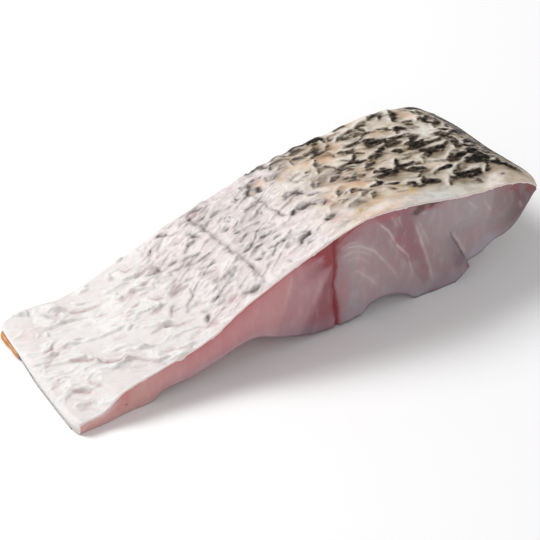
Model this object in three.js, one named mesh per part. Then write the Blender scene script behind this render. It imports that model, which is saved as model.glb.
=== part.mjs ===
// A raw barramundi fillet portion, cut across the fish and laid skin side up.
// X runs from the thin belly end to the thick back of the fish, Y from the front cut
// face to the rear one, and Z up. The origin is under the middle of the portion, on
// the plane that it rests on. All sizes are in millimetres.

import * as THREE from "three";

// Driving dimensions
const length = 172.1; // belly end to dorsal edge
const width = 52; // front cut face to rear cut face
const flare = { extra: 1.3, from: 0.04, to: 0.13 }; // how the belly end spreads on each side
const skinThickness = 1.2;
const layerGap = 0.3; // between the skin's inner face and the flesh
const leastFlesh = 0.7; // flesh that is left where it tapers out under the skin

// How far the skin reaches past the flesh at the belly end: further over the fat near the
// rear corner
const skinLip = { plain: 0.8, overFat: 2.3, from: 0.6, to: 0.7 };

// Outline from above: the belly end is slightly bowed with rounded corners, and the
// dorsal edge, given as [v, distance from the belly end], slants and bulges at the front
const bellyBow = { at: 0.35, depth: 1.4, corner: 1.2 };
const dorsalEdge = [
  [0, 170.4], [0.1, 172], [0.22, 171.7], [0.4, 169.4], [0.6, 168.2], [0.8, 167.3], [1, 164.8],
];

// Heights of the skin and of the underside along each cut face: [distance, height], from
// the belly end to the dorsal edge. What would lie below zero is pressed flat.
const frontSkin = [
  [0, 3.2], [4.5, 4.4], [9, 5.7], [12, 7.4], [16, 9.8], [34, 13.6], [47, 17.2], [60, 25],
  [77, 32.6], [94, 39.2], [108, 41.8], [125, 39.4], [145, 35.6], [158, 34.4], [166, 31.8],
  [170, 28.6],
];
const rearSkin = [
  [0, 4.2], [7, 6.3], [23, 7], [34, 10.6], [46, 14.9], [62, 20.9], [79, 26.3],
  [96, 31.1], [113, 33.8], [136, 35.9], [148, 34.7], [155, 33], [164, 26.6],
];
const frontUnderside = [
  [0, -1], [22, 0], [27, 0.8], [30, 3.2], [41, 4.2], [50, 6.6], [60, 9.8], [66, 9.3],
  [72, 6.4], [79, 3.8], [85, 2], [92, 1.3], [103, 2], [106, 4.9], [112, 6], [120, 3.4],
  [124, 0.2], [130, -0.4], [138, -0.6], [142, 1.7], [146, 5.2], [151, 6.4], [155, 10],
  [160, 12.4], [164, 16.8], [167, 22], [170, 26.6],
];
const rearUnderside = [
  [0, -1], [30, 0.3], [50, 4.1], [62, 5.5], [80, 1.9], [95, -0.1], [135, -0.5], [146, 5.1],
  [157, 14.1], [164, 23.6],
];

// The skin's crown across the portion, and its relief
const crown = { rise: 1.2, bellyRun: 0.25, dorsalRun: 0.06 };
const pocket = { long: 12, across: 6, angle: -0.2, rise: 0.55, from: 66, full: 104 };
const fold = { pitch: 13, slant: 0.35, drift: 29, wander: 2.2, rise: 0.5, from: 56, until: 96 };
const dimple = { pitch: 8.5, rise: 0.3 };
const smoothHem = 5; // the skin is drawn smooth along the front cut
const smoothEnds = { belly: 0.04, dorsal: 0.03 };
const leastSkin = 0.45; // what is left of the skin under the deepest groove

// Grooves in the skin, along [distance, distance from the front cut]: the long fold of the
// belly, two short ones, and the crease that crosses the portion
const grooves = [
  { line: [[11, 23], [20, 14], [27, 10], [33, 1]], depth: 0.6, half: 1.7 },
  { line: [[37, 15], [44, 11]], depth: 0.5, half: 1.7 },
  { line: [[22, 43], [30, 38]], depth: 0.4, half: 1.7 },
  { line: [[69.7, 0], [69.7, 52]], depth: 0.5, half: 1.6 },
];

// The front cut face: the red seam between the muscles, and the block that stands
// proud where a muscle has come away
const seam = { top: 92.4, lean: 0.03, topHeight: 37.5, half: 2.4, depth: 1.3 };
const slit = { top: 134.3, lean: 0.525, topHeight: 26, half: 1.2, step: 2.4, opening: 8 };
const tip = { from: 150, to: 168 }; // where the step runs out towards the dorsal edge
const cutBulge = 0.5;
const cutInset = 0.6; // the flesh draws back from the skin's cut edge

// The strip of yellow fat at the belly end, near the rear corner: two lumps with a waist
const fat = { length: 13.5, depth: 2, height: 2.2, lift: 0.2, inset: 0.75, rearInset: 0.6 };
const waist = { at: -0.05, half: 0.16, depth: 0.3 }; // as parts of the strip's length and girth

// How finely the surfaces are divided
const skinStations = 78;
const fleshStations = 108;
const acrossSkin = 23;
const acrossInside = 8;
const upFront = 8;
const upRear = 5;

const clamp01 = (t) => Math.min(1, Math.max(0, t));
const mix = (a, b, t) => a + (b - a) * t;
const ease = (a, b, t) => THREE.MathUtils.smoothstep(t, a, b);

// A smooth curve through a few points: cubic pieces whose slope at each point is that
// of the line between its neighbours
function smoothCurve(points) {
  const last = points.length - 1;
  const slope = points.map((_, i) => {
    const [xa, za] = points[Math.max(0, i - 1)];
    const [xb, zb] = points[Math.min(last, i + 1)];
    return (zb - za) / (xb - xa);
  });
  return (x) => {
    let i = 0;
    while (i < last - 1 && x > points[i + 1][0]) i += 1;
    const [x0, z0] = points[i];
    const [x1, z1] = points[i + 1];
    const span = x1 - x0;
    const t = clamp01((x - x0) / span);
    const rise = t * t * (3 - 2 * t);
    return (
      mix(z0, z1, rise) +
      span * t * (1 - t) * (slope[i] * (1 - t) - slope[i + 1] * t)
    );
  };
}

const curves = {
  frontSkin: smoothCurve(frontSkin),
  rearSkin: smoothCurve(rearSkin),
  frontUnderside: smoothCurve(frontUnderside),
  rearUnderside: smoothCurve(rearUnderside),
  dorsalEdge: smoothCurve(dorsalEdge),
};
const endOf = (points) => points[points.length - 1][0];

// Places on the portion are given by u, 0 at the belly end to 1 at the dorsal edge, and
// v, 0 at the front cut to 1 at the rear cut.
function bellyX(v) {
  const corner = bellyBow.corner * Math.abs(2 * v - 1) ** 12;
  return -length / 2 + bellyBow.depth * (v - bellyBow.at) ** 2 + corner;
}
const dorsalX = (v) => -length / 2 + curves.dorsalEdge(v);
const planX = (u, v) => mix(bellyX(v), dorsalX(v), u);
function planY(u, v) {
  const spread = flare.extra * (1 - ease(flare.from, flare.to, u));
  return (2 * v - 1) * (width / 2 + spread);
}

// Scale pockets: lens-shaped swellings in staggered rows that run aslant across the skin
function pocketRelief(along, across) {
  const c = Math.cos(pocket.angle);
  const s = Math.sin(pocket.angle);
  const row = (across * c - along * s) / pocket.across;
  const rowIndex = Math.round(row);
  const stagger = 0.5 * (rowIndex & 1);
  const column = (along * c + across * s) / pocket.long + stagger;
  const dx = 2 * (column - Math.round(column));
  const dy = 2 * (row - rowIndex);
  const strength = ease(pocket.from, pocket.full, along);
  return pocket.rise * strength * (1 - Math.min(1, dx * dx + 0.8 * dy * dy));
}

// Soft folds and dimples in the thin belly skin
function foldRelief(along, across) {
  const wave = (distance, pitch) => Math.sin((distance / pitch) * 2 * Math.PI);
  const wander = fold.wander * wave(along + across / 2, fold.drift);
  const strength = 1 - ease(fold.from, fold.until, along);
  const folds = wave(across + fold.slant * along + wander, fold.pitch);
  const dimples = wave(along + wander, dimple.pitch) * wave(across, dimple.pitch);
  return strength * (fold.rise * folds + dimple.rise * dimples);
}

// Each groove is a bell-shaped hollow about its line
const flat = ([x, y]) => new THREE.Vector3(x, y, 0);
const grooveRuns = grooves.flatMap(({ line, depth, half }) =>
  line.slice(1).map((end, i) => ({ run: new THREE.Line3(flat(line[i]), flat(end)), depth, half })),
);

function grooveRelief(along, across) {
  const point = flat([along, across]);
  const depths = grooveRuns.map(({ run, depth, half }) => {
    const near = run.closestPointToPoint(point, true, new THREE.Vector3());
    return depth * Math.exp(-((near.distanceTo(point) / half) ** 2));
  });
  return -Math.max(...depths);
}

function skinRelief(u, v) {
  const along = u * length;
  const across = v * width;
  const hem = ease(0, smoothHem, across);
  const ends = ease(0, smoothEnds.belly, u) * ease(0, smoothEnds.dorsal, 1 - u);
  const forms = pocketRelief(along, across) + foldRelief(along, across) + grooveRelief(along, across);
  return Math.max(leastSkin - skinThickness, hem * ends * forms);
}

// The smooth height of the skin's outer face
function skinHeight(u, v) {
  const front = curves.frontSkin(u * endOf(frontSkin));
  const rear = curves.rearSkin(u * endOf(rearSkin));
  const arch = 4 * v * (1 - v) * ease(0, crown.bellyRun, u) * ease(0, crown.dorsalRun, 1 - u);
  return mix(front, rear, v) + crown.rise * arch;
}

const skinInside = (u, v) => skinHeight(u, v) - skinThickness;
const fleshTop = (u, v) => skinInside(u, v) - layerGap;

// The boned side, pressed flat where it carries the fillet
function underside(u, v) {
  const front = curves.frontUnderside(u * endOf(frontUnderside));
  const rear = curves.rearUnderside(u * endOf(rearUnderside));
  const height = mix(front, rear, ease(0, 1, v));
  return Math.max(0, Math.min(height, fleshTop(u, v) - leastFlesh));
}

// How far the front cut face lies behind the skin's edge
function cutDepth(along, height, t) {
  const seamX = seam.top + seam.lean * (seam.topHeight - height);
  const groove = seam.depth * (1 - ease(0, seam.half, Math.abs(along - seamX)));
  const slitX = slit.top + slit.lean * (slit.topHeight - height);
  const lost = ease(-slit.half, slit.half, along - slitX);
  const low = ease(0, slit.opening, slit.topHeight - height);
  const toTip = 1 - ease(tip.from, tip.to, along);
  const bulge = cutBulge * Math.sin(Math.PI * t);
  return Math.max(0.1, cutInset + groove + slit.step * lost * low * toTip - bulge);
}

// A closed solid through sections. Each section has a chain of points over its top and one
// underneath, both from front to rear.
function loft(sections) {
  const rings = sections.map(({ top, under }) => [...top, ...under.toReversed()]);
  const count = rings[0].length;
  const index = [];
  for (let i = 0; i < rings.length - 1; i += 1) {
    for (let j = 0; j < count; j += 1) {
      const a = i * count + j;
      const b = i * count + ((j + 1) % count);
      index.push(a, a + count, b + count, a, b + count, b);
    }
  }
  // An end face is stitched from its two chains, always to whichever next point comes first
  const stitch = ({ top, under }, first, facingBelly) => {
    let i = 0;
    let j = 0;
    while (i < top.length - 1 || j < under.length - 1) {
      const a = first + i;
      const b = first + count - 1 - j;
      const underDone = j === under.length - 1;
      const takeTop = underDone || (i < top.length - 1 && top[i + 1].y <= under[j + 1].y);
      const c = takeTop ? a + 1 : b - 1;
      index.push(...(facingBelly ? [a, c, b] : [a, b, c]));
      if (takeTop) i += 1;
      else j += 1;
    }
  };
  stitch(sections[0], 0, true);
  stitch(sections[sections.length - 1], (rings.length - 1) * count, false);
  const geometry = new THREE.BufferGeometry().setFromPoints(rings.flat());
  geometry.setIndex(index);
  geometry.computeVertexNormals();
  return geometry;
}

const steps = (count) => Array.from({ length: count + 1 }, (_, i) => i / count);

// The skin: one sheet over the whole top, with the relief on its outer face only
function skinGeometry() {
  const sections = steps(skinStations).map((u) => {
    const place = (v, z) => new THREE.Vector3(planX(u, v), planY(u, v), z);
    return {
      top: steps(acrossSkin).map((v) => place(v, skinHeight(u, v) + skinRelief(u, v))),
      under: steps(acrossInside).map((v) => place(v, skinInside(u, v))),
    };
  });
  return loft(sections);
}

// The flesh: under the skin, between the two cut faces and down to the boned side
function fleshGeometry() {
  const lipAt = (v) => mix(skinLip.plain, skinLip.overFat, ease(skinLip.from, skinLip.to, v));
  const inset = cutInset / width;
  const sections = steps(fleshStations).map((step) => {
    const uAt = (v) => mix(lipAt(v) / length, 1, step);
    const place = (v, z) => new THREE.Vector3(planX(uAt(v), v), planY(uAt(v), v), z);
    const across = steps(acrossInside).map((t) => mix(inset, 1 - inset, t));
    const front = steps(upFront).slice(1, -1).map((t) => {
      const z = mix(fleshTop(uAt(0), 0), underside(uAt(0), 0), t);
      return place(cutDepth(uAt(0) * length, z, t) / width, z);
    });
    const rear = steps(upRear).slice(1, -1).map((t) => {
      const z = mix(underside(uAt(1), 1), fleshTop(uAt(1), 1), t);
      return place(1 - inset + (cutBulge * Math.sin(Math.PI * t)) / width, z);
    });
    const bottom = across.map((v) => place(v, underside(uAt(v), v)));
    return {
      top: across.map((v) => place(v, fleshTop(uAt(v), v))),
      under: [...front, ...bottom, ...rear],
    };
  });
  return loft(sections);
}

// The fat: a strip under the skin's lip, drawn in at its waist
function fatGeometry() {
  const geometry = new THREE.SphereGeometry(0.5, 14, 12);
  const corners = geometry.attributes.position;
  for (let i = 0; i < corners.count; i += 1) {
    const y = corners.getY(i);
    const girth = 1 - waist.depth * Math.exp(-(((y - waist.at) / waist.half) ** 2));
    corners.setXYZ(i, corners.getX(i) * girth, y, corners.getZ(i) * girth);
  }
  geometry.scale(fat.depth, fat.length, fat.height);
  geometry.computeVertexNormals();
  return geometry;
}

function piece(name, geometry, color, roughness) {
  const material = new THREE.MeshStandardMaterial({ color, roughness, metalness: 0 });
  const mesh = new THREE.Mesh(geometry, material);
  mesh.name = name;
  return mesh;
}

const fillet = new THREE.Group();
fillet.name = "barramundi_fillet";
fillet.add(piece("skin", skinGeometry(), 0xe6dcd5, 0.42));
fillet.add(piece("flesh", fleshGeometry(), 0xb08d8f, 0.34));
const fatStrip = piece("belly_fat", fatGeometry(), 0xd98a3d, 0.4);
fatStrip.position.set(
  bellyX(0.8) + fat.inset,
  planY(0, 1) - fat.length / 2 - fat.rearInset,
  fat.lift + fat.height / 2,
);
fillet.add(fatStrip);

export default fillet;
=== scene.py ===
import math
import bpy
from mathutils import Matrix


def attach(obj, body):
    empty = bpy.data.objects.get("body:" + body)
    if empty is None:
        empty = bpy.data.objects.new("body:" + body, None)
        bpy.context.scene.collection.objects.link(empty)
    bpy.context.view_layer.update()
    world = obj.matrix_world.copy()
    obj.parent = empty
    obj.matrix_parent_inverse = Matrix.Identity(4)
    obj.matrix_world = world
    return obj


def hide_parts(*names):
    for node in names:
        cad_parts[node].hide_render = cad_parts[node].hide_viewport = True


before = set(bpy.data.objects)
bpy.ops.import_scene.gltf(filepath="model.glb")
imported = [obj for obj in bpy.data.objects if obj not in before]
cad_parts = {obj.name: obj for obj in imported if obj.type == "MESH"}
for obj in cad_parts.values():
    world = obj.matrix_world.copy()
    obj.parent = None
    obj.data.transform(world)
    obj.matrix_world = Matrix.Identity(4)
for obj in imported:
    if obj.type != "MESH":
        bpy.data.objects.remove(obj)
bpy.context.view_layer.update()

from types import SimpleNamespace
import bpy
import numpy as np

mm = 0.001

# the portion's own form, in mm: s runs from the belly end to the back of the fish, t from the front cut
# to the rear cut, and the same curves as the solids carry the surfaces
portion = {
    "length": 172.1,
    "width": 52.0,
    "flare": (1.3, 0.04, 0.13),  # extra half width at the belly end, and where it runs out
    "bellyBow": (0.35, 1.4, 1.2),  # where it is fullest, its depth, and the rounded corners
    "crown": 1.2,  # rise of the arch between the two cuts
    "wave": 0.3,  # height of the slight waviness
    "corner": (1.3, 4.5, 0.14),  # rise of the blunt corner at the belly end of the front cut, its reach
    "leastFlesh": 2.2,  # from the skin's top down to the boned side, where it is thinnest
    "dorsalEdge": [(0, 170.4), (0.1, 172), (0.22, 171.7), (0.4, 169.4), (0.6, 168.2), (0.8, 167.3),
                   (1, 164.8)],
    "frontSkin": [(0, 3.2), (4.5, 4.4), (9, 5.7), (12, 7.4), (16, 9.8), (34, 13.6), (47, 17.2), (60, 25),
                  (77, 32.6), (94, 39.2), (108, 41.8), (125, 39.4), (145, 35.6), (158, 34.4), (166, 31.8),
                  (170, 28.6)],
    "rearSkin": [(0, 4.2), (7, 6.3), (23, 7), (34, 10.6), (46, 14.9), (62, 20.9), (79, 26.3), (96, 31.1),
                 (113, 33.8), (136, 35.9), (148, 34.7), (155, 33), (164, 26.6)],
    "frontUnder": [(0, -1), (22, 0), (27, 0.8), (30, 3.2), (41, 4.2), (50, 6.6), (60, 9.8), (66, 9.3),
                   (72, 6.4), (79, 3.8), (85, 2), (92, 1.3), (103, 2), (106, 4.9), (112, 6), (120, 3.4),
                   (124, 0.2), (130, -0.4), (138, -0.6), (142, 1.7), (146, 5.2), (151, 6.4), (155, 10),
                   (160, 12.4), (164, 16.8), (167, 22), (170, 26.6)],
    "rearUnder": [(0, -1), (30, 0.3), (50, 4.1), (62, 5.5), (80, 1.9), (95, -0.1), (135, -0.5), (146, 5.1),
                  (157, 14.1), (164, 23.6)],
}
frontRun = portion["frontSkin"][-1][0]  # how far the profiles of each cut run
rearRun = portion["rearSkin"][-1][0]


# an S-shaped step from 0 at a to 1 at b
def ease(a, b, x):
    q = np.clip((x - a) / (b - a), 0, 1)
    return q * q * (3 - 2 * q)


# a bell-shaped spot: 1 in the middle, less by the square of the distance in two directions
def bell(x, y=0):
    return np.exp(-x ** 2 - y ** 2)


# a curve through a few points: cubic pieces, each point's slope taken from its neighbours
def throughPoints(points, x):
    px, pz = np.array(points, float).T
    k = np.arange(len(px))
    before, after = np.maximum(k - 1, 0), np.minimum(k + 1, len(px) - 1)
    slope = (pz[after] - pz[before]) / (px[after] - px[before])
    i = np.clip(np.searchsorted(px, x) - 1, 0, len(px) - 2)
    span = px[i + 1] - px[i]
    q = np.clip((x - px[i]) / span, 0, 1)
    bend = span * q * (1 - q) * (slope[i] * (1 - q) - slope[i + 1] * q)
    return pz[i] + (pz[i + 1] - pz[i]) * ease(0, 1, q) + bend


# smooth noise from -1 to 1: a seeded table of values on a unit lattice, eased between them
def softNoise(x, y, seed):
    cells = 64
    table = np.random.default_rng(seed).uniform(-1, 1, (cells, cells))
    xi, yi = np.floor(x).astype(int), np.floor(y).astype(int)
    blend = lambda q: q * q * q * (q * (q * 6 - 15) + 10)
    fx, fy = blend(x - xi), blend(y - yi)
    at = lambda i, j: table[(xi + i) % cells, (yi + j) % cells]
    low = at(0, 0) * (1 - fx) + at(1, 0) * fx
    high = at(0, 1) * (1 - fx) + at(1, 1) * fx
    return low * (1 - fy) + high * fy


# soft noise in octaves, each twice as fine and half as strong
def layeredNoise(x, y, seed, octaves=3):
    return sum(softNoise(x * 2 ** k, y * 2 ** k, seed + k) * 0.5 ** k for k in range(octaves)) / 1.6


# layered noise on bent axes, drawn out by the two sizes
def bentNoise(s, t, sizeS, sizeT, bend, seed):
    a, b = s / sizeS, t / sizeT
    bentA = a + bend * softNoise(a * 0.8, b * 0.8, seed + 1)
    bentB = b + bend * softNoise(a * 0.8, b * 0.8, seed + 2)
    return layeredNoise(bentA, bentB, seed + 3, 3)


# bent noise with its zero lines made into valleys in part, by adding its rounded absolute value
def creasedNoise(s, t, sizeS, sizeT, bend, seed):
    bent = bentNoise(s, t, sizeS, sizeT, bend, seed)
    return 0.6 * bent + 0.7 * (np.sqrt(bent ** 2 + 0.02) - 0.2)


# plan along the portion: the belly end is a shallow bow with rounded corners, the dorsal edge a curve,
# and u blends from one to the other
def planX(u, v):
    at, depth, corner = portion["bellyBow"]
    belly = depth * (v - at) ** 2 + corner * np.abs(2 * v - 1) ** 12
    return belly + (throughPoints(portion["dorsalEdge"], v) - belly) * u - portion["length"] / 2


# plan across it: the two cut faces are straight, half the width from the middle, and flare at the belly
def planY(u, v):
    extra, start, end = portion["flare"]
    return (2 * v - 1) * (portion["width"] / 2 + extra * (1 - ease(start, end, u)))


# height of the skin: the front profile blended to the rear one, plus a low arch between them, a slight
# waviness and a bell-shaped rise at the belly corner
def skinHeight(u, v):
    front = throughPoints(portion["frontSkin"], u * frontRun)
    rear = throughPoints(portion["rearSkin"], u * rearRun)
    arch = portion["crown"] * 4 * v * (1 - v) * ease(0, 0.25, u) * ease(0, 0.06, 1 - u)
    wave = portion["wave"] * layeredNoise(u * 26, v * 5, 7, 2) * ease(0, 0.04, u) * ease(0, 0.04, 1 - u)
    rise, reachS, reachV = portion["corner"]
    return front + (rear - front) * v + arch + wave + rise * bell(u * frontRun / reachS, v / reachV)


# height of the boned side: its two profiles blended, never below the table or too near the skin
def underHeight(u, v):
    front = throughPoints(portion["frontUnder"], u * frontRun)
    rear = throughPoints(portion["rearUnder"], u * rearRun)
    roof = skinHeight(u, v) - portion["leastFlesh"]
    return np.maximum(0, np.minimum(front + (rear - front) * ease(0, 1, v), roof))


# a closed mesh from rings of points: quads between neighbouring rings, and a fan to the middle of
# the first and of the last ring; seen along the row, each ring runs over the top from right to
# left, which turns the faces outwards
def ringMesh(name, rings, marks):
    n, m = rings.shape[:2]
    points = np.concatenate([rings.reshape(-1, 3), rings[0].mean(0)[None], rings[-1].mean(0)[None]])
    i, j = np.meshgrid(np.arange(n - 1), np.arange(m), indexing="ij")
    a, b = i * m + j, i * m + (j + 1) % m
    quads = np.stack([a, a + m, b + m, b], -1).reshape(-1, 4)
    k = np.arange(m)
    first = np.stack([np.full(m, n * m), k, (k + 1) % m], -1)
    last = np.stack([np.full(m, n * m + 1), (n - 1) * m + (k + 1) % m, (n - 1) * m + k], -1)
    mesh = bpy.data.meshes.new(name)
    mesh.from_pydata((points * mm).tolist(), [], quads.tolist() + first.tolist() + last.tolist())
    mesh.polygons.foreach_set("use_smooth", np.ones(len(mesh.polygons), bool))
    for markName, values in marks.items():
        layer = mesh.attributes.new(markName, "FLOAT", "POINT")
        ends = [values[0].mean(), values[-1].mean()]
        layer.data.foreach_set("value", np.concatenate([values.ravel(), ends]).astype(np.float32))
    mesh.update()
    piece = bpy.data.objects.new(name, mesh)
    bpy.context.collection.objects.link(piece)
    return piece


# a colour as a screen shows it, 0 to 255 a channel, in the linear values that a shader takes
def tint(red, green, blue):
    channel = lambda c: c / 255 / 12.92 if c <= 10 else ((c / 255 + 0.055) / 1.055) ** 2.4
    return (channel(red), channel(green), channel(blue), 1)


skinLook = {
    "grid": (540, 165),
    "under": [0, 3, 6, 12, 40, 82, 124, 152, 158, 161, 164],  # the columns that its underside keeps
    "thickness": 2.4,
    "edgeThickness": 0.6,
    "middle": (42, 58),  # where the belly's skin gives way to that of the middle, and that to the back's
    "back": (86, 116),
    # how far each form stands up, in mm, or sinks
    "heights": {"lumps": 1.7, "creped": 1.15, "fine": 0.06, "uneven": 0.5, "ridge": 0.35, "dip": -0.6,
                "fold": -0.15, "lip": 0.15, "sunk": -0.3, "wrinkle": -0.15, "brim": 0.15, "furrow": -0.4,
                "crease": -0.2, "flap": 0.6, "dark": -0.2},
    "bellyGround": tint(227, 224, 222),
    "middleGround": tint(228, 220, 219),
    "cream": tint(204, 187, 164),
    "white": tint(234, 223, 214),
    "hem": tint(206, 208, 205),
    "peach": tint(222, 170, 126),
    "yellow": tint(200, 166, 76),
    "grey": tint(150, 139, 137),
    "pale": tint(226, 222, 213),
    "wash": tint(140, 123, 94),
    "pink": tint(196, 142, 136),
    "grain": tint(150, 136, 126),
    # painted shade: pink-mauve laid in the low places of the relief (hollow) and along the belly's folds
    # and the wide hollows about them (fold)
    "hollow": tint(164, 129, 131),
    "fold": tint(164, 129, 131),
    # grey of the wrinkles and creases, also laid as painted shade in the soft hollows about them
    "wrinkle": tint(82, 72, 72),
    # painted shade, partly brown pigment, about the dark flap edges
    "dusk": tint(126, 110, 86),
    # painted highlight on the ridges beside folds, wrinkles and creases
    "lip": tint(232, 226, 225),
    # painted highlight along the raised free edges of the scale flaps
    "flap": tint(248, 243, 237),
    "umber": tint(76, 60, 42),
    "greyPigment": tint(88, 80, 84),
    "darkPigment": tint(10, 7, 5),
    "rim": tint(24, 22, 22),
    "cutEdge": tint(242, 224, 218),
    # each mask lays the tint of its own name over the ground, in turn and this strongly,
    # the last two after the pigment; some are the skin's own colours, others painted shade and highlights
    "stainsAndPaintedLight": {"hem": 0.9, "peach": 0.75, "yellow": 0.75, "grey": 0.75, "pale": 0.75, "wash": 0.75,
               "pink": 0.75, "grain": 0.26, "hollow": 0.44, "fold": 0.85, "wrinkle": 0.95, "dusk": 0.85,
               "lip": 0.7, "flap": 0.7},
    "edgeStains": {"rim": 0.9, "cutEdge": 0.8},
    "speck": (1100.0, 4.0, (0.45, 1.0, 0.7)),  # size, detail and stretch of the noise in the pigment
    "shader": {"Subsurface Weight": 0.12, "Subsurface Radius": (1.0, 0.6, 0.5),
               "Subsurface Scale": 1.2 * mm, "Specular IOR Level": 0.22},
    "moisture": {"Fineness": 900.0, "Wet": 0.42, "Dry": 0.62, "bump": 0.35},
}

# folds and soft hollows of the belly, in mm: from (s, t) to (s, t), width, strength
foldLines = [
    (11, 23, 15.5, 19.5, 1.3, 0.5), (15.5, 19.5, 20, 14.3, 1.5, 0.6), (20, 14.3, 23.5, 11.3, 1.6, 0.6),
    (23.5, 11.3, 27, 9.8, 1, 0.35), (27, 9.5, 29.3, 5.5, 1.2, 0.45), (29.3, 5.5, 32.5, 1, 1.2, 0.35),
    (5.8, 14, 10, 9.3, 1.2, 0.5), (12, 12.2, 14, 7.6, 0.9, 0.45), (7, 6.2, 9, 5.4, 2.2, 0.35),
    (35.8, 15, 40.4, 13.9, 1, 0.4), (40.4, 13.9, 44.8, 11.5, 1.1, 0.55),
    (44.8, 11.5, 48.2, 10.3, 0.9, 0.3), (35, 5, 38.5, 3.8, 1.2, 0.4), (38, 3.6, 41.5, 1.2, 1.3, 0.5),
    (22, 43.2, 26, 41.3, 1.8, 0.6), (26, 41, 30, 38.5, 1.6, 0.5), (27.5, 34.6, 29.3, 33.6, 1.6, 0.5),
    (33.5, 27, 35.5, 26.3, 1.4, 0.5), (36.5, 28.8, 40, 28.8, 1.2, 0.4), (43.2, 27.4, 45.4, 26, 1.6, 0.5),
    (40.2, 22.6, 42.2, 22, 2, 0.45), (35.5, 35, 40.5, 34.4, 1.8, 0.4), (6.5, 31.5, 9.5, 32, 1.4, 0.5),
    (4, 27.5, 10, 28.8, 1.6, 0.4), (10.3, 30.2, 14, 28, 1.4, 0.45), (13.5, 44.5, 21, 45.5, 2, 0.2),
    (42.4, 47, 43, 44.6, 1.6, 0.4), (43, 44.4, 45.4, 43.8, 1.6, 0.5), (44.8, 40.2, 48, 39.8, 1.8, 0.4),
    (44, 34.2, 45.8, 34.2, 1.6, 0.5), (41.6, 31.8, 43.4, 31.3, 1.2, 0.4), (43.6, 4.2, 47, 4.2, 1.6, 0.35),
    (50.4, 4.6, 51.8, 2.2, 1.4, 0.4), (58, 5.2, 60.2, 5.4, 2.2, 0.5), (47.8, 36.4, 51.6, 37.2, 2.6, 0.5),
    (48.6, 24, 51.4, 24.2, 2.6, 0.5),
]

# long creases across the portion, in the same way
creaseLines = [
    (69.3, 50, 69.2, 38, 2.2, 0.55), (69.2, 38, 70, 24, 2, 0.5), (70, 24, 69.8, 12, 1.8, 0.42),
    (69.8, 12, 69, 3, 1.6, 0.4), (88, 47, 87.6, 28, 1.2, 0.4), (87.8, 28, 88.6, 21.6, 1.2, 0.6),
    (100.4, 39, 100.4, 33, 1.6, 0.35),
]

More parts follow.
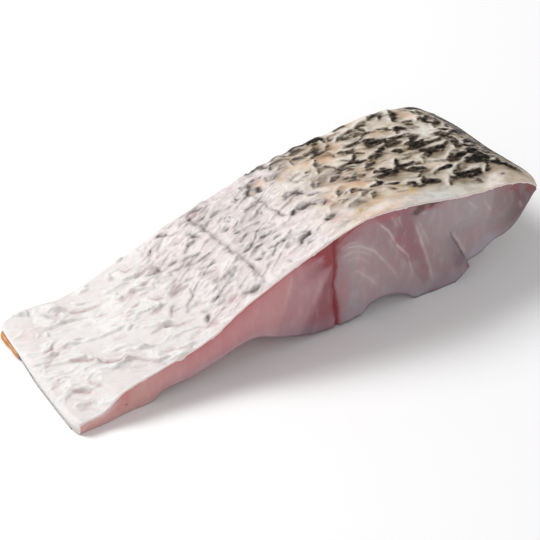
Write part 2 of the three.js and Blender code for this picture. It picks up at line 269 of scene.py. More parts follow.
# grey wrinkles of the middle, in the same way
wrinkleLines = [
    (52.4, 45.2, 53.4, 46.4, 1.4, 0.72), (53.4, 46.5, 57, 47.2, 1.2, 0.4),
    (57.4, 49.2, 60, 48.3, 1.4, 0.72), (60.2, 47.6, 61.6, 46.2, 1, 0.4), (61.6, 46, 64.2, 45.9, 1.1, 0.6),
    (49.4, 42, 51, 43.4, 1.6, 0.35), (50.8, 37.9, 51, 36.1, 1.1, 0.84),
    (54.2, 35.3, 56.4, 34.8, 1.6, 0.72), (59.8, 35, 61.4, 36.2, 1.3, 0.72),
    (61.4, 36.7, 64, 36.8, 1.9, 0.66), (52.2, 32.4, 52.2, 31, 1.2, 0.4), (53.4, 32.2, 55, 31.3, 1.2, 0.6),
    (55, 31.3, 57.2, 32, 1.1, 0.45), (57.6, 33.2, 60, 32.2, 1.2, 0.6), (60.2, 31.6, 63, 30.5, 1.2, 0.6),
    (57.4, 29.8, 59, 29.2, 1.3, 0.4), (59, 28.7, 60.4, 28.2, 1.1, 0.45),
    (60.4, 28.2, 63.8, 27.3, 1.3, 0.72), (54.8, 27.4, 57.2, 28.4, 1.1, 0.45),
    (49, 27.4, 52.2, 28, 1.4, 0.35), (59.8, 42.4, 60, 41.2, 0.8, 0.35), (64.4, 42, 65.2, 40, 1.4, 0.6),
    (65, 39.4, 66.4, 37.6, 1.5, 0.78), (49.8, 25.4, 51.4, 26.4, 1.2, 0.6),
    (53.8, 24.6, 56.8, 24.4, 1.2, 0.45), (60.4, 24.4, 61.6, 23.8, 1.2, 0.45),
    (61.6, 23.6, 64, 23.3, 1.2, 0.66), (58, 22.8, 60, 21.4, 1, 0.45), (60, 21.4, 62.2, 20.3, 1, 0.4),
    (43.6, 16.4, 45, 18.6, 1, 0.35), (45, 18.6, 46.6, 20.2, 1.3, 0.45), (48.4, 14, 49.6, 16.2, 1, 0.4),
    (49.6, 16.8, 52, 17.6, 1.5, 0.66), (52, 17.8, 53, 21, 1.1, 0.45), (58.2, 15.9, 60.6, 15.4, 1, 0.45),
    (60.6, 15.3, 63.2, 15, 1.2, 0.66), (63, 14.4, 63.8, 13.4, 1, 0.4),
    (54.8, 10.4, 56.4, 10.6, 1.3, 0.72), (56.4, 10.8, 60, 11.9, 1.1, 0.6), (60, 12.2, 64, 12.3, 1, 0.4),
    (51, 10.6, 51.8, 9, 1.4, 0.45), (50.2, 6.2, 51.3, 7.6, 1.3, 0.78), (54.8, 8.2, 57, 8.2, 1.2, 0.4),
    (62.4, 4.9, 64.2, 3.6, 1.1, 0.6), (64, 3.2, 67, 3.4, 1.9, 0.96), (65, 4.6, 66.6, 4.4, 1.4, 0.6),
    (66.4, 4.6, 69, 9, 1, 0.4), (66, 49, 68, 48.4, 2, 0.4), (68.6, 48.4, 69.4, 47.8, 1, 0.6),
    (70.4, 50.2, 73, 49.4, 2, 0.72), (73, 49.4, 74.8, 49, 1.8, 0.6), (71.6, 45.2, 73.2, 45.1, 1.6, 0.96),
    (74, 45.4, 76, 47.4, 1.1, 0.45), (73.8, 42.4, 76, 43.2, 1.6, 0.4), (76.2, 43.1, 77.6, 43.2, 1.1, 0.6),
    (82, 43, 82.6, 40.8, 1.1, 0.45), (83.2, 42.6, 84, 42.2, 1.3, 0.78), (85.6, 40.6, 88, 42.6, 1.3, 0.6),
    (87.8, 42.4, 90, 44.8, 1.6, 0.78), (88, 46.8, 90, 44.6, 1.2, 0.66),
    (74.4, 38.2, 75.8, 39.4, 1.1, 0.45), (75.8, 39.4, 77.4, 36.8, 0.7, 0.4),
    (77.4, 36.6, 79, 34.9, 0.8, 0.45), (79.2, 35, 80.4, 34.8, 1.1, 0.72), (75, 36, 75.8, 34.8, 1.3, 0.6),
    (72.4, 33.3, 74, 33, 1.4, 0.72), (81.8, 34.2, 83.6, 35.8, 1.4, 0.72), (83.4, 35.7, 87.4, 35.5, 2, 1),
    (75.8, 31.7, 77.6, 32.5, 1, 0.6), (73.8, 31, 76, 31.6, 1, 0.4), (84.4, 31.4, 84.8, 29.2, 1, 0.45),
    (74.2, 28.5, 76, 28.9, 1.3, 0.78), (77, 28.4, 79.4, 27.2, 1.2, 0.45),
    (80.4, 26.8, 82.2, 27, 1.2, 0.6), (75, 25, 76.6, 25.8, 1.2, 0.84), (73.8, 23.6, 75, 24.8, 1, 0.45),
    (72.2, 22.3, 73.2, 22, 0.9, 0.45), (68.8, 23.8, 69.4, 22.4, 1, 0.4),
    (78.4, 23.8, 80.6, 22.2, 1.3, 0.6), (78.6, 21.4, 80, 20.6, 1, 0.6),
    (71.8, 19.1, 73.8, 19.2, 1.2, 0.96), (73.8, 19.4, 75.6, 20.5, 1.3, 0.78),
    (76.2, 19.2, 78, 18.6, 1.2, 0.45), (78.2, 20, 80.4, 18.9, 1.2, 1), (80.4, 19, 82, 19.8, 1.2, 0.6),
    (72.2, 16.2, 74.4, 16.7, 0.9, 0.4), (74.4, 16.9, 76.8, 17.2, 1.2, 0.66),
    (80, 16.1, 82.2, 15.8, 1.2, 0.96), (72.2, 13.2, 74, 12.3, 1.3, 0.84), (74.2, 13, 76, 14.5, 0.9, 0.66),
    (77.6, 13.8, 79, 13.1, 1.1, 0.9), (79, 12.9, 82, 12.6, 1.6, 1), (76.2, 10.8, 78, 12.1, 0.9, 0.72),
    (82.6, 12.2, 84, 13.4, 0.9, 0.45), (83.6, 13.4, 85.4, 14.3, 1, 0.66),
    (69.4, 13.6, 69.8, 11.4, 1.8, 0.4), (83.8, 10.6, 84, 8.6, 1, 0.6), (84.4, 7.4, 86.4, 9.4, 1.4, 0.96),
    (85.6, 8.6, 87.2, 8.6, 1.5, 1), (86, 10.4, 87.8, 10.2, 1.2, 0.78), (87.4, 10.6, 87.8, 8.6, 1.2, 0.72),
    (86, 5.6, 87.4, 4.9, 1.2, 0.6), (80.2, 9.6, 82, 8.9, 1, 0.45), (73, 8.4, 75.6, 7.4, 1.6, 0.35),
    (78, 4.8, 78.8, 3.2, 1.2, 0.35), (90.2, 46.6, 92.4, 46.2, 1.8, 1), (88.4, 43.4, 90.4, 46, 1.2, 0.6),
    (92.4, 46, 94.8, 45.4, 1.3, 0.56), (90.6, 41.8, 91.6, 40.2, 2.3, 1),
    (95.6, 43.4, 96.8, 44, 1.3, 0.62), (97, 42.4, 99, 43.2, 2.1, 0.75),
    (93.2, 28.8, 95.6, 31.4, 1.7, 0.75), (96, 29, 98, 29.8, 2.5, 1), (97.8, 28.4, 99, 27, 1.8, 1),
    (93, 31.6, 93.8, 31, 1.2, 0.5), (90.6, 20.2, 92, 21.2, 2.1, 0.88), (93.2, 20.8, 94.8, 23, 1.4, 0.81),
    (94, 20.6, 97, 20.7, 2.3, 1), (97.6, 19.3, 99.8, 19, 1.7, 0.81), (95, 9.6, 98, 9.6, 2, 0.81),
    (99.4, 24.8, 100.2, 23.4, 1.4, 0.62), (101, 24, 102, 22.4, 1.6, 0.5),
    (98.6, 50.8, 99.8, 48.2, 2.1, 1), (99.6, 17.2, 100.8, 18.3, 1.7, 1),
    (101.8, 38.2, 102.8, 36.8, 1.6, 0.69),
]

# dark marks under the edges of the scale flaps towards the back of the fish, in the same way
darkStrokes = [
    (100.2, 47.4, 103.6, 51, 1.3, 0.6), (101.8, 44.8, 102.8, 46, 1.4, 0.7),
    (101, 17.4, 101.4, 15, 1.2, 0.4), (101.2, 14.8, 98.6, 12.4, 1.4, 0.4),
    (105.6, 43, 106.6, 45.6, 1, 0.6), (106.6, 48, 108, 47.3, 1.3, 0.6),
    (108.4, 46, 110.6, 44.8, 1.8, 0.8), (109, 49, 113.8, 49.6, 2.2, 0.9),
    (110, 51.2, 111.6, 50, 1.6, 0.9), (112, 45, 114.4, 46, 2, 0.6), (107.8, 32.2, 109.8, 34.8, 1.3, 0.85),
    (109.4, 34.4, 110.2, 37.6, 1.5, 0.8), (110.2, 37.6, 112, 39.8, 1.1, 0.6),
    (105, 35.6, 105.8, 36.3, 1.2, 0.7), (106.4, 35.6, 107.4, 36.4, 1, 0.4),
    (102.8, 26.6, 103.6, 29.8, 1.4, 0.7), (104, 26.6, 104.8, 27.2, 1.2, 0.85),
    (105.4, 29, 111, 28, 2.6, 0.5), (108.2, 25.5, 112, 26.4, 1.6, 0.95), (113.4, 31, 114.6, 29, 1, 0.6),
    (105, 17.2, 106.4, 18.8, 1.6, 0.8), (108.2, 15.2, 109.6, 16.4, 1.4, 0.95),
    (109.6, 16.2, 112.2, 15, 1.7, 0.85), (112, 14.8, 113.8, 13.6, 1.6, 0.6),
    (110, 12, 111.8, 13, 1.6, 0.85), (103, 14.6, 104.4, 14.2, 1, 0.5),
    (103.6, 12.8, 105.4, 13.8, 1.3, 0.6), (103, 9.2, 105.4, 9.6, 1.2, 0.7),
    (105.2, 9.4, 107.4, 10.6, 1.2, 0.7), (105.6, 8.6, 108, 9, 1.8, 0.6),
    (111.8, 9.8, 113.7, 11.4, 1.4, 0.85), (116.8, 50.4, 122.2, 50.8, 1.8, 0.9),
    (117.6, 48.8, 119, 48.4, 1.2, 0.6), (121.2, 47.4, 122.8, 50.4, 1.2, 0.7),
    (123, 47.4, 124.4, 48.8, 1.4, 0.9), (124.8, 45.2, 126.8, 46.8, 1.6, 0.9),
    (126.6, 44.9, 128.8, 45.4, 1.3, 0.75), (127, 46.8, 131, 47.6, 2, 0.45),
    (130.8, 47.2, 133.4, 47.8, 1.4, 0.75), (134.8, 48.6, 138.4, 49.2, 1.7, 0.85),
    (135.2, 47.6, 135.2, 44.4, 1.4, 0.85), (112.3, 42, 114.4, 43.3, 1.3, 0.8),
    (114.4, 43.2, 117, 43.4, 2, 0.75), (114.8, 44.4, 116.6, 47, 2.2, 0.7),
    (118.4, 43.6, 120.6, 45.6, 1.4, 0.55), (117.6, 41.4, 118, 38, 1.4, 0.4),
    (123, 40.6, 125.6, 41.2, 1, 0.5), (125.6, 41.2, 128.4, 39.9, 1.3, 0.75),
    (119.8, 38.8, 122.2, 38, 1.8, 0.75), (122.6, 37, 125, 38, 1.6, 0.95),
    (130, 39.6, 132, 39.2, 1.4, 0.75), (131.6, 38.8, 133.4, 38.4, 1.6, 0.9),
    (130.5, 36.8, 134, 36.2, 2, 0.75), (133.6, 37, 137, 36.9, 1.4, 0.75),
    (135.8, 35.6, 138.6, 35, 2.6, 1), (135.8, 33.6, 136.8, 36.4, 1.8, 0.9),
    (118.6, 31.4, 120.8, 32.2, 1.1, 0.75), (120.6, 32, 122.8, 34.3, 1.1, 0.8),
    (111.4, 33.8, 113.4, 31.8, 1.3, 0.85), (113.4, 30.6, 118.6, 31.4, 1.6, 0.65),
    (121, 30.6, 124.2, 29.9, 1.1, 0.75), (115.8, 28.4, 117.4, 27.4, 1.3, 0.75),
    (126, 30, 127, 31.2, 1, 0.7), (127.4, 30.6, 130.6, 31.6, 1.9, 0.65), (130, 31.9, 133.8, 33, 1.1, 0.9),
    (135, 29.9, 138, 28.7, 1.4, 0.95), (121.4, 26, 125.6, 27.2, 1.6, 0.6),
    (124.6, 27.4, 126.4, 30.4, 1, 0.35), (112.6, 24.1, 114.4, 22.5, 1.5, 0.85),
    (114.2, 22.8, 116.6, 24.2, 1.2, 0.6), (116.4, 22.8, 118.2, 22.6, 1.3, 0.8),
    (120.8, 24.8, 123.6, 24, 1.6, 0.6), (121.8, 21.4, 123.4, 22, 1.2, 0.8),
    (121.6, 18.9, 124, 18.9, 1.6, 0.85), (124, 20.8, 126.6, 20.6, 2.2, 1),
    (124.6, 19.2, 127.8, 18.7, 1.6, 0.95), (125, 22.2, 126.4, 22.2, 1.4, 0.55),
    (128.6, 20.2, 131.2, 20.4, 1.9, 1), (129.8, 21.2, 131, 22.2, 1.6, 1),
    (130.8, 22.2, 132.6, 24.6, 1.1, 0.95), (130.4, 19.6, 131.2, 17.6, 1.2, 0.8),
    (132.2, 17.8, 136.8, 17, 1.7, 1), (134.6, 15, 137.6, 15.6, 1, 0.7),
    (131.6, 21.2, 133.6, 20.9, 1, 0.85), (133.4, 20.9, 136.8, 21.4, 1.3, 0.85),
    (115, 14.8, 117.4, 15.2, 1, 0.75), (117.2, 15.2, 120.2, 16, 1.6, 0.95),
    (118.8, 16.4, 119.4, 18, 0.9, 0.5), (120, 13.6, 122, 13, 1.2, 0.65),
    (121.8, 12.9, 123.6, 13, 1.2, 0.8), (126, 11.4, 128.2, 11, 1.3, 0.6), (127, 9.6, 130, 9.4, 1.5, 0.5),
    (131, 10.2, 133.6, 12.6, 1.1, 0.8), (131.8, 10.4, 134.4, 10.8, 1.3, 0.75),
    (134.2, 10.2, 136.6, 9.2, 1.4, 0.75), (132.2, 13.4, 133.4, 14, 1, 0.55),
    (140.6, 50, 143.8, 51.2, 1.8, 0.75), (143.8, 48.4, 145.6, 49.8, 1.3, 0.75),
    (146.2, 45, 148, 46.4, 1.6, 0.95), (146.8, 46.6, 148.4, 48, 1.4, 0.6),
    (148, 48, 150.6, 50.8, 1.5, 0.8), (148.8, 43.2, 151.2, 42.8, 1.3, 0.85),
    (149.2, 41.8, 150.8, 41.4, 1.5, 0.95), (151, 41.4, 151.6, 38, 0.8, 0.35),
    (153.8, 42.2, 155.6, 43.6, 1.3, 0.75), (155.6, 41.4, 158.6, 44, 1.2, 0.9),
    (154.8, 40.8, 157, 39.8, 1.2, 0.95), (157.4, 38.9, 159.6, 39.2, 1.3, 1),
    (159, 40, 160.6, 42, 1.3, 0.75), (155.9, 46.4, 157.2, 48, 1.2, 0.75),
    (157.8, 46.2, 160.4, 48.6, 1.5, 0.9), (160.6, 36.6, 163, 38.6, 1.6, 0.6),
    (140.8, 41.8, 141.6, 40.6, 1.1, 0.7), (138.6, 43.8, 141.6, 42.2, 1.1, 0.6),
    (142.2, 39.4, 144.4, 40.8, 1.6, 0.95), (144, 40, 146.6, 39.6, 1.5, 0.85),
    (142.4, 38.2, 143.4, 39.2, 1.3, 0.9), (138.8, 34.4, 140.2, 33.4, 1.2, 0.8),
    (138.8, 36.9, 142.6, 35.8, 1.3, 0.85), (143.2, 35.8, 145.8, 36, 1.7, 0.9),
    (145, 35.2, 147, 33.6, 1.7, 0.9), (144.2, 33.2, 146, 33, 1.1, 0.75),
    (140.6, 30.8, 143.4, 31.2, 1.5, 1), (143, 31.6, 145, 32.8, 1, 0.8),
    (146, 30.6, 147.6, 30.4, 1.1, 0.8), (141.4, 28.4, 144.4, 28.6, 2.2, 1),
    (144, 27.8, 147.4, 28.2, 1.4, 0.95), (143.4, 29.6, 145, 30.4, 1.6, 0.85),
    (147.2, 28.4, 149.6, 28.6, 1, 0.8), (150.6, 28.3, 152.4, 28.5, 1.1, 0.95),
    (152.2, 28.7, 154, 29.8, 1, 0.85), (152.8, 32, 155.4, 32.6, 1.7, 0.95),
    (154.4, 31, 157.2, 30.4, 2, 1), (156, 29.4, 157.2, 27, 1.6, 0.9),
    (154.4, 28.6, 154.8, 26.6, 1.1, 0.75), (158.4, 30, 160.2, 31.6, 1.2, 0.9),
    (160, 31.4, 163.6, 33.4, 1.3, 0.85), (155, 25.4, 157.2, 26.4, 1.6, 1),
    (156.6, 36.6, 157.4, 38.4, 1.2, 0.5), (142.8, 25.6, 145.2, 24.8, 1.6, 1),
    (145, 24.8, 149, 25, 1.4, 1), (148.2, 24.2, 150.6, 24.6, 1.5, 0.95),
    (150.4, 24.6, 153.6, 26, 1.1, 0.9), (147.8, 23.4, 149.6, 23.2, 1.2, 0.6),
    (154.2, 22.2, 156.4, 24.6, 1.4, 0.95), (156.8, 23, 158.6, 23, 1.3, 0.9),
    (158.4, 22.6, 161.4, 22.2, 1.2, 0.8), (159.6, 24.6, 161.4, 25.6, 1.1, 0.85),
    (161.4, 25.6, 163.6, 26.6, 1.2, 0.8), (161.2, 22.2, 163.8, 24.8, 1.3, 0.6),
    (141, 22, 142.8, 23, 1.2, 0.65), (142.6, 23, 145, 23.6, 1.2, 0.9),
    (139.6, 19.6, 141.6, 22.2, 1.2, 0.35), (147.4, 18.2, 149.4, 18.6, 1, 0.75),
    (149.2, 18.6, 152.4, 18.4, 1.6, 1), (152, 18.2, 154.4, 18, 1.4, 0.9),
    (150.4, 19.6, 153.8, 21.2, 1.3, 0.8), (148, 17.2, 150.6, 17.2, 1, 0.5),
    (151.6, 15, 153.6, 15.2, 1.8, 0.95), (151.8, 13.8, 154.2, 13.4, 1.6, 0.95),
    (153.8, 13, 158, 13.4, 1.9, 1), (156, 15, 158.6, 15.8, 1.9, 1), (156, 18.2, 158.4, 18, 1.8, 0.95),
    (157.8, 17.6, 158.8, 15.8, 1.6, 0.95), (156.2, 20, 157, 19, 1.2, 0.75),
    (146.6, 12.6, 148.2, 14.2, 1.6, 0.95), (147.6, 12.8, 149.4, 14.4, 1.6, 0.9),
    (143.4, 10.4, 146, 11.4, 1.8, 0.95), (143.2, 9.2, 145.8, 9.2, 2, 0.95), (144.4, 8.8, 148, 9, 1.8, 1),
    (147.8, 9.2, 152.2, 9.2, 1.8, 1), (146.6, 7.2, 151.8, 7.4, 1.3, 0.75),
    (153.8, 7.4, 155.6, 9.6, 1.2, 0.85), (155.6, 10.6, 157.4, 12, 1.2, 0.7),
    (141.4, 8.4, 143.6, 9, 1.3, 0.85), (139, 6.6, 141.2, 9.6, 1.2, 0.7),
    (148.2, 5.8, 149.6, 4.4, 1.2, 0.5), (138, 12.8, 140.2, 13.8, 1.4, 0.6), (140, 14, 143, 14.6, 1, 0.8),
    (142.6, 14.7, 145.6, 15.2, 1.1, 0.95), (136.6, 19.6, 138.2, 20.4, 1.2, 0.5),
    (158.4, 10.6, 160.4, 9.8, 1.6, 0.95), (160, 10.2, 162, 12.4, 1.2, 0.85),
    (160, 9, 163.4, 8.8, 1.2, 0.7), (160.8, 17.4, 163.2, 19.6, 1.5, 0.9),
    (160.6, 14.6, 162.4, 13, 1.3, 0.75), (161.4, 20.4, 163, 22, 1, 0.6), (162.4, 8.6, 166, 6.4, 1.8, 0.9),
    (157.2, 4.2, 158.4, 4.4, 1.1, 0.35), (130.6, 38, 134, 37, 3.2, 0.7), (136, 35.2, 139, 35, 3.2, 1),
    (141.4, 29.6, 146, 29.4, 3.2, 0.9), (153.6, 31.4, 156.8, 31, 3, 1), (156, 28, 156.2, 23, 2.2, 0.95),
    (143, 25, 151, 24.8, 1.7, 1), (147.6, 17.8, 154.6, 18.6, 2, 0.9), (152, 14.4, 158.4, 14, 3.2, 1),
    (157.6, 19.4, 158.4, 14, 2.4, 0.95), (143.6, 10.2, 149, 14, 2.6, 0.95),
    (142, 8.9, 151.6, 8.9, 1.8, 0.9), (121.6, 19.4, 127.8, 19.4, 2.8, 0.9),
    (132.2, 17.4, 136.8, 17.2, 2.2, 1), (131.4, 11, 136.4, 9.6, 1.8, 0.7), (145, 35, 147, 33.4, 2.2, 0.9),
]

# bumps where scales stand up along the rear cut: place, rise and half width
rearBumps = [
    (52, 0.4, 3), (61, 0.5, 2.4), (70.5, 0.5, 1.6), (75.4, 1, 1.8), (84, 0.6, 2.6), (91.5, 0.8, 2.2),
    (98.4, 0.5, 1.8), (105, 1.1, 2), (113, 0.5, 2.6), (121, 0.5, 2.4), (131, 0.4, 2), (139, 0.5, 2.4),
    (148, 0.4, 2),
]

# tinted places: middle (s, t), half sizes and strength
tintPatches = {
    "peach": [
        (115, 39, 4.5, 3.6, 0.9), (113, 19.5, 6, 3, 0.8), (105, 42, 3, 3, 0.5), (136.5, 42, 3, 2.5, 0.5),
        (152.5, 47, 3, 3, 0.6), (122, 42.6, 4, 1.6, 0.6), (92.6, 42.6, 2, 2.5, 0.7),
        (126, 35.5, 5, 2.2, 0.4),
    ],
    "yellow": [
        (104.8, 5.6, 1.2, 1.8, 0.6), (108, 6.4, 1.8, 1.6, 0.6), (122.5, 11, 2, 1.3, 0.8),
        (125, 7, 1.4, 2.4, 0.7), (139.5, 19.5, 2, 2.6, 0.7), (113.4, 8.6, 1.4, 2, 0.6),
        (126, 28, 2, 1.6, 0.6), (98.5, 39.5, 1.3, 1.8, 0.6), (103.6, 43.2, 1.4, 2.4, 0.5),
        (140, 28.4, 1.6, 1.6, 0.6), (88.6, 41, 1.2, 1.6, 0.5),
    ],
    "grey": [
        (76, 24, 5, 8, 0.35), (77, 42, 5, 6, 0.35), (66, 40, 2.5, 5, 0.35), (86, 9, 2.4, 2.4, 0.6),
        (85.5, 36, 3.5, 3, 0.5), (50, 37, 3, 2.4, 0.55), (50, 24.4, 2.6, 2.2, 0.55),
        (95.6, 29.8, 3.6, 2.4, 0.9), (95, 21, 3.4, 1.8, 0.8), (65.5, 4, 2.4, 1.8, 0.55),
        (86, 44, 4, 5, 0.35), (90, 44, 2.5, 4, 0.45), (71.5, 49, 4, 2.6, 0.5), (98.5, 43, 2.5, 2.5, 0.45),
        (62.6, 36.6, 2.2, 1.2, 0.4), (107, 28.4, 5.5, 3, 0.9), (105.4, 9.4, 3, 2.2, 0.8),
        (102.6, 46, 3, 3, 0.6),
    ],
    "pale": [
        (152, 36, 5, 5, 0.9), (143, 20, 5, 3, 0.7), (131, 3.5, 10, 3, 0.6), (146, 47, 4, 3, 0.6),
        (127, 25, 3, 2, 0.6), (158.6, 27.6, 2, 2, 0.6), (117, 28.4, 3, 1.6, 0.7), (118, 35, 4, 1.6, 0.7),
        (124, 33, 4, 1.6, 0.6), (133, 43.4, 5, 2.5, 0.6), (140, 46.6, 4, 3, 0.7), (116, 9, 5, 3, 0.6),
        (105, 39, 3, 3, 0.6), (97, 35, 6, 4, 0.6), (149, 11, 3, 1, 0.6), (156, 16, 1.2, 1.2, 0.8),
    ],
    "wash": [
        (127, 16, 5, 2.4, 0.7), (134, 13.6, 4, 2.6, 0.6), (126, 28.6, 2, 3, 0.6),
        (138.6, 31, 3, 2.6, 0.7), (150, 22.4, 3, 2, 0.6), (115.6, 44.6, 3, 3, 0.8),
        (115, 23.4, 3.4, 1.6, 0.8), (123, 25.4, 3, 1.6, 0.6), (132, 37.6, 3, 2.4, 0.7),
        (145, 5.6, 6, 1.6, 0.5), (160, 21, 3, 4, 0.6), (160, 40, 3, 3, 0.6),
    ],
    "pink": [
        (97, 7.5, 1.8, 1.6, 0.5), (100.6, 15, 1.2, 2.8, 0.6), (88.2, 22.6, 0.7, 1.8, 0.5),
        (72, 49, 2.4, 1.4, 0.4), (45, 18.6, 0.9, 2.4, 0.3), (93, 47, 3, 1.6, 0.3), (6, 42, 4, 3, 0.25),
        (51, 4, 2, 2, 0.25), (59.4, 5.6, 1.2, 1.4, 0.3),
    ],
}

# smaller strokes that fill in between, drawn at random: how many, range of s, range of t, length, slant
# and its spread, width and strength
scatter = {
    "fold": (130, (2, 62), (2, 50), (1.5, 4.5), (-0.3, 0.45), (0.6, 1.4), (0.1, 0.4)),
    "wrinkle": (170, (46, 106), (1, 51), (2.5, 8), (0.3, 0.45), (0.4, 0.9), (0.05, 0.24)),
    "flap": (175, (98, 170), (7.5, 51), (1.5, 5.5), (-0.2, 0.32), (0.4, 1.0), (0.25, 0.8)),
}


# strokes of one kind, as rows like those above: a middle, a length and a slant for each,
# fainter where a slow noise is low
def scatterRows(kind, seed):
    count, rangeS, rangeT, lengths, (slant, spread), widths, strengths = scatter[kind]
    rng = np.random.default_rng(seed)
    s, t = rng.uniform(*rangeS, count), rng.uniform(*rangeT, count)
    half = rng.uniform(*lengths, count) / 2
    angle = rng.normal(slant, spread, count)
    width, strength = rng.uniform(*widths, count), rng.uniform(*strengths, count)
    patchy = ease(-0.35, 0.35, layeredNoise(s / 13, t / 11, seed + 3, 2))
    ds, dt = half * np.cos(angle), half * np.sin(angle)
    return np.stack([s - ds, t - dt, s + ds, t + dt, width, strength * (0.15 + 0.85 * patchy)], 1).tolist()


# the points near a stroke, on bent axes: which they are, how far across it each lies
# (towards the rear cut counts as more), how far past its ends, and the stroke's width
# there, which shrinks towards the ends
def nearStroke(s, t, bentS, bentT, row):
    s0, t0, s1, t1, width = row[:5]
    if s1 < s0:
        s0, t0, s1, t1 = s1, t1, s0, t0
    reach = 3 * width + 4
    near = np.abs(s - (s0 + s1) / 2) < (s1 - s0) / 2 + reach
    near &= np.abs(t - (t0 + t1) / 2) < abs(t1 - t0) / 2 + reach
    ds, dt, long = bentS[near] - s0, bentT[near] - t0, math.hypot(s1 - s0, t1 - t0)
    share = (ds * (s1 - s0) + dt * (t1 - t0)) / long ** 2
    q = np.clip(share, 0, 1)
    across = (dt * (s1 - s0) - ds * (t1 - t0)) / long
    return near, across, np.abs(share - q) * long, width * (0.55 + 0.45 * np.sin(np.pi * q))


# soft folds: about each stroke a narrow line and a wide hollow, both bell-shaped, and a ridge beside it
# towards the rear cut; where strokes meet, what each one leaves untouched is multiplied
def drawFolds(s, t, rows, bend, seed):
    bentS = s + bend * layeredNoise(s / 4, t / 3, seed, 3)
    bentT = t + bend * layeredNoise(s / 4, t / 3, seed + 7, 3)
    clear, level, ridge = np.ones(s.shape), np.ones(s.shape), np.zeros(s.shape)
    for row in rows:
        strength = row[5]
        near, across, past, width = nearStroke(s, t, bentS, bentT, row)
        line, hollow, crest = 0.28 * width + 0.08, 0.65 * width + 0.25, 0.5 * width + 0.1
        clear[near] *= 1 - strength * bell(across / line, past / line)
        level[near] *= 1 - strength * bell(across / hollow, past / hollow)
        stand = strength * bell((across - 1.1 * width - 0.2) / crest, past / crest)
        ridge[near] = np.maximum(ridge[near], stand)
    return 1 - clear, 1 - level, ridge


# flap edges: the dark under an edge ends sharply towards the flap, on the side of the rear
# cut, and softly on the other, a wider painted shade, partly brown pigment, lies about it, and the
# flap stands up along its edge, where a highlight is painted later; strokes join as folds do
def drawFlaps(s, t, rows, bend, seed):
    bentS = s + bend * layeredNoise(s / 5, t / 4, seed, 2)
    bentT = t + bend * layeredNoise(s / 5, t / 4, seed + 7, 2)
    clear, light, flap = np.ones(s.shape), np.ones(s.shape), np.zeros(s.shape)
    for row in rows:
        strength = row[5]
        near, across, past, width = nearStroke(s, t, bentS, bentT, row)
        under, over = np.maximum(-across, 0), np.maximum(across, 0)
        fall = (under / (0.62 * width + 0.2)) ** 1.5 + (over / (0.42 * width + 0.15)) ** 2
        clear[near] *= 1 - strength * np.exp(-fall - (past / (0.45 * width + 0.25)) ** 2)
        away = (under + 2.5 * over) / (1.7 * width + 1.2)
        light[near] *= 1 - 0.8 * strength * bell(away, past / (0.8 * width + 0.8))
        edge = across - 0.5 * width
        stand = strength * ease(-0.3, 0.3, edge) * bell(edge / (0.9 + 0.35 * width), past)
        flap[near] = np.maximum(flap[near], stand)
    return 1 - clear, 1 - light, flap


# tinted places: a bell-shaped spot for each, uneven at its border
def drawPatches(s, t, rows, seed):
    uneven = 0.5 * layeredNoise(s / 2.6, t / 2, seed, 2)
    spots = [strength * bell((s - s0) / a, (t - t0) / b) for s0, t0, a, b, strength in rows]
    return np.clip(np.max(spots, 0) * (1 + uneven) * 1.2, 0, 1)


# the fields that the skin's height and colours come from: strokes of each kind, the noises between
# them, and eased steps where the belly gives way to the middle and the middle to the back
def skinFields(s, t):
    f = SimpleNamespace(s=s, t=t, rearT=portion["width"] - t)
    f.back = ease(*skinLook["back"], s + 9 * softNoise(s / 14, t / 10, 5))
    f.middle = ease(*skinLook["middle"], s + 5 * softNoise(s / 9, t / 9, 99))
    f.fold, f.dip, f.ridge = drawFolds(s, t, foldLines + scatterRows("fold", 201), 0.7, 211)
    f.wrinkle, f.sunk, f.lip = drawFolds(s, t, wrinkleLines + scatterRows("wrinkle", 221), 0.8, 231)
    f.crease, f.furrow, f.brim = drawFolds(s, t, creaseLines, 0.5, 236)
    f.dark, f.dusk, f.flap = drawFlaps(s, t, darkStrokes + scatterRows("flap", 241), 0.9, 251)
    f.ragged = layeredNoise(s / 2.4, t + 0.15 * s, 261, 3)
    f.clustered = layeredNoise(s / 13, (t + 0.2 * s) / 6, 276, 2)

    # lumps at the belly, thin wrinkles drawn out along the portion in the
    # middle, and uneven flaps behind
    smooth = 1 - 0.75 * bell((s - 24) / 9, (t - 31) / 9)
    ahead = 1 - f.back
    f.lumps = creasedNoise(s, t + 0.4 * s, 5.5, 2.8, 0.8, 401) * smooth * (1 - 0.6 * f.middle) * ahead
    f.creped = creasedNoise(s, t - 0.25 * s, 5, 2, 0.9, 411) * f.middle * ahead
    f.uneven = bentNoise(s, t + 0.1 * s, 8, 4, 0.8, 421) * f.back
    f.fine = layeredNoise(s / 2.4, t / 1.1, 81, 2)
    return f


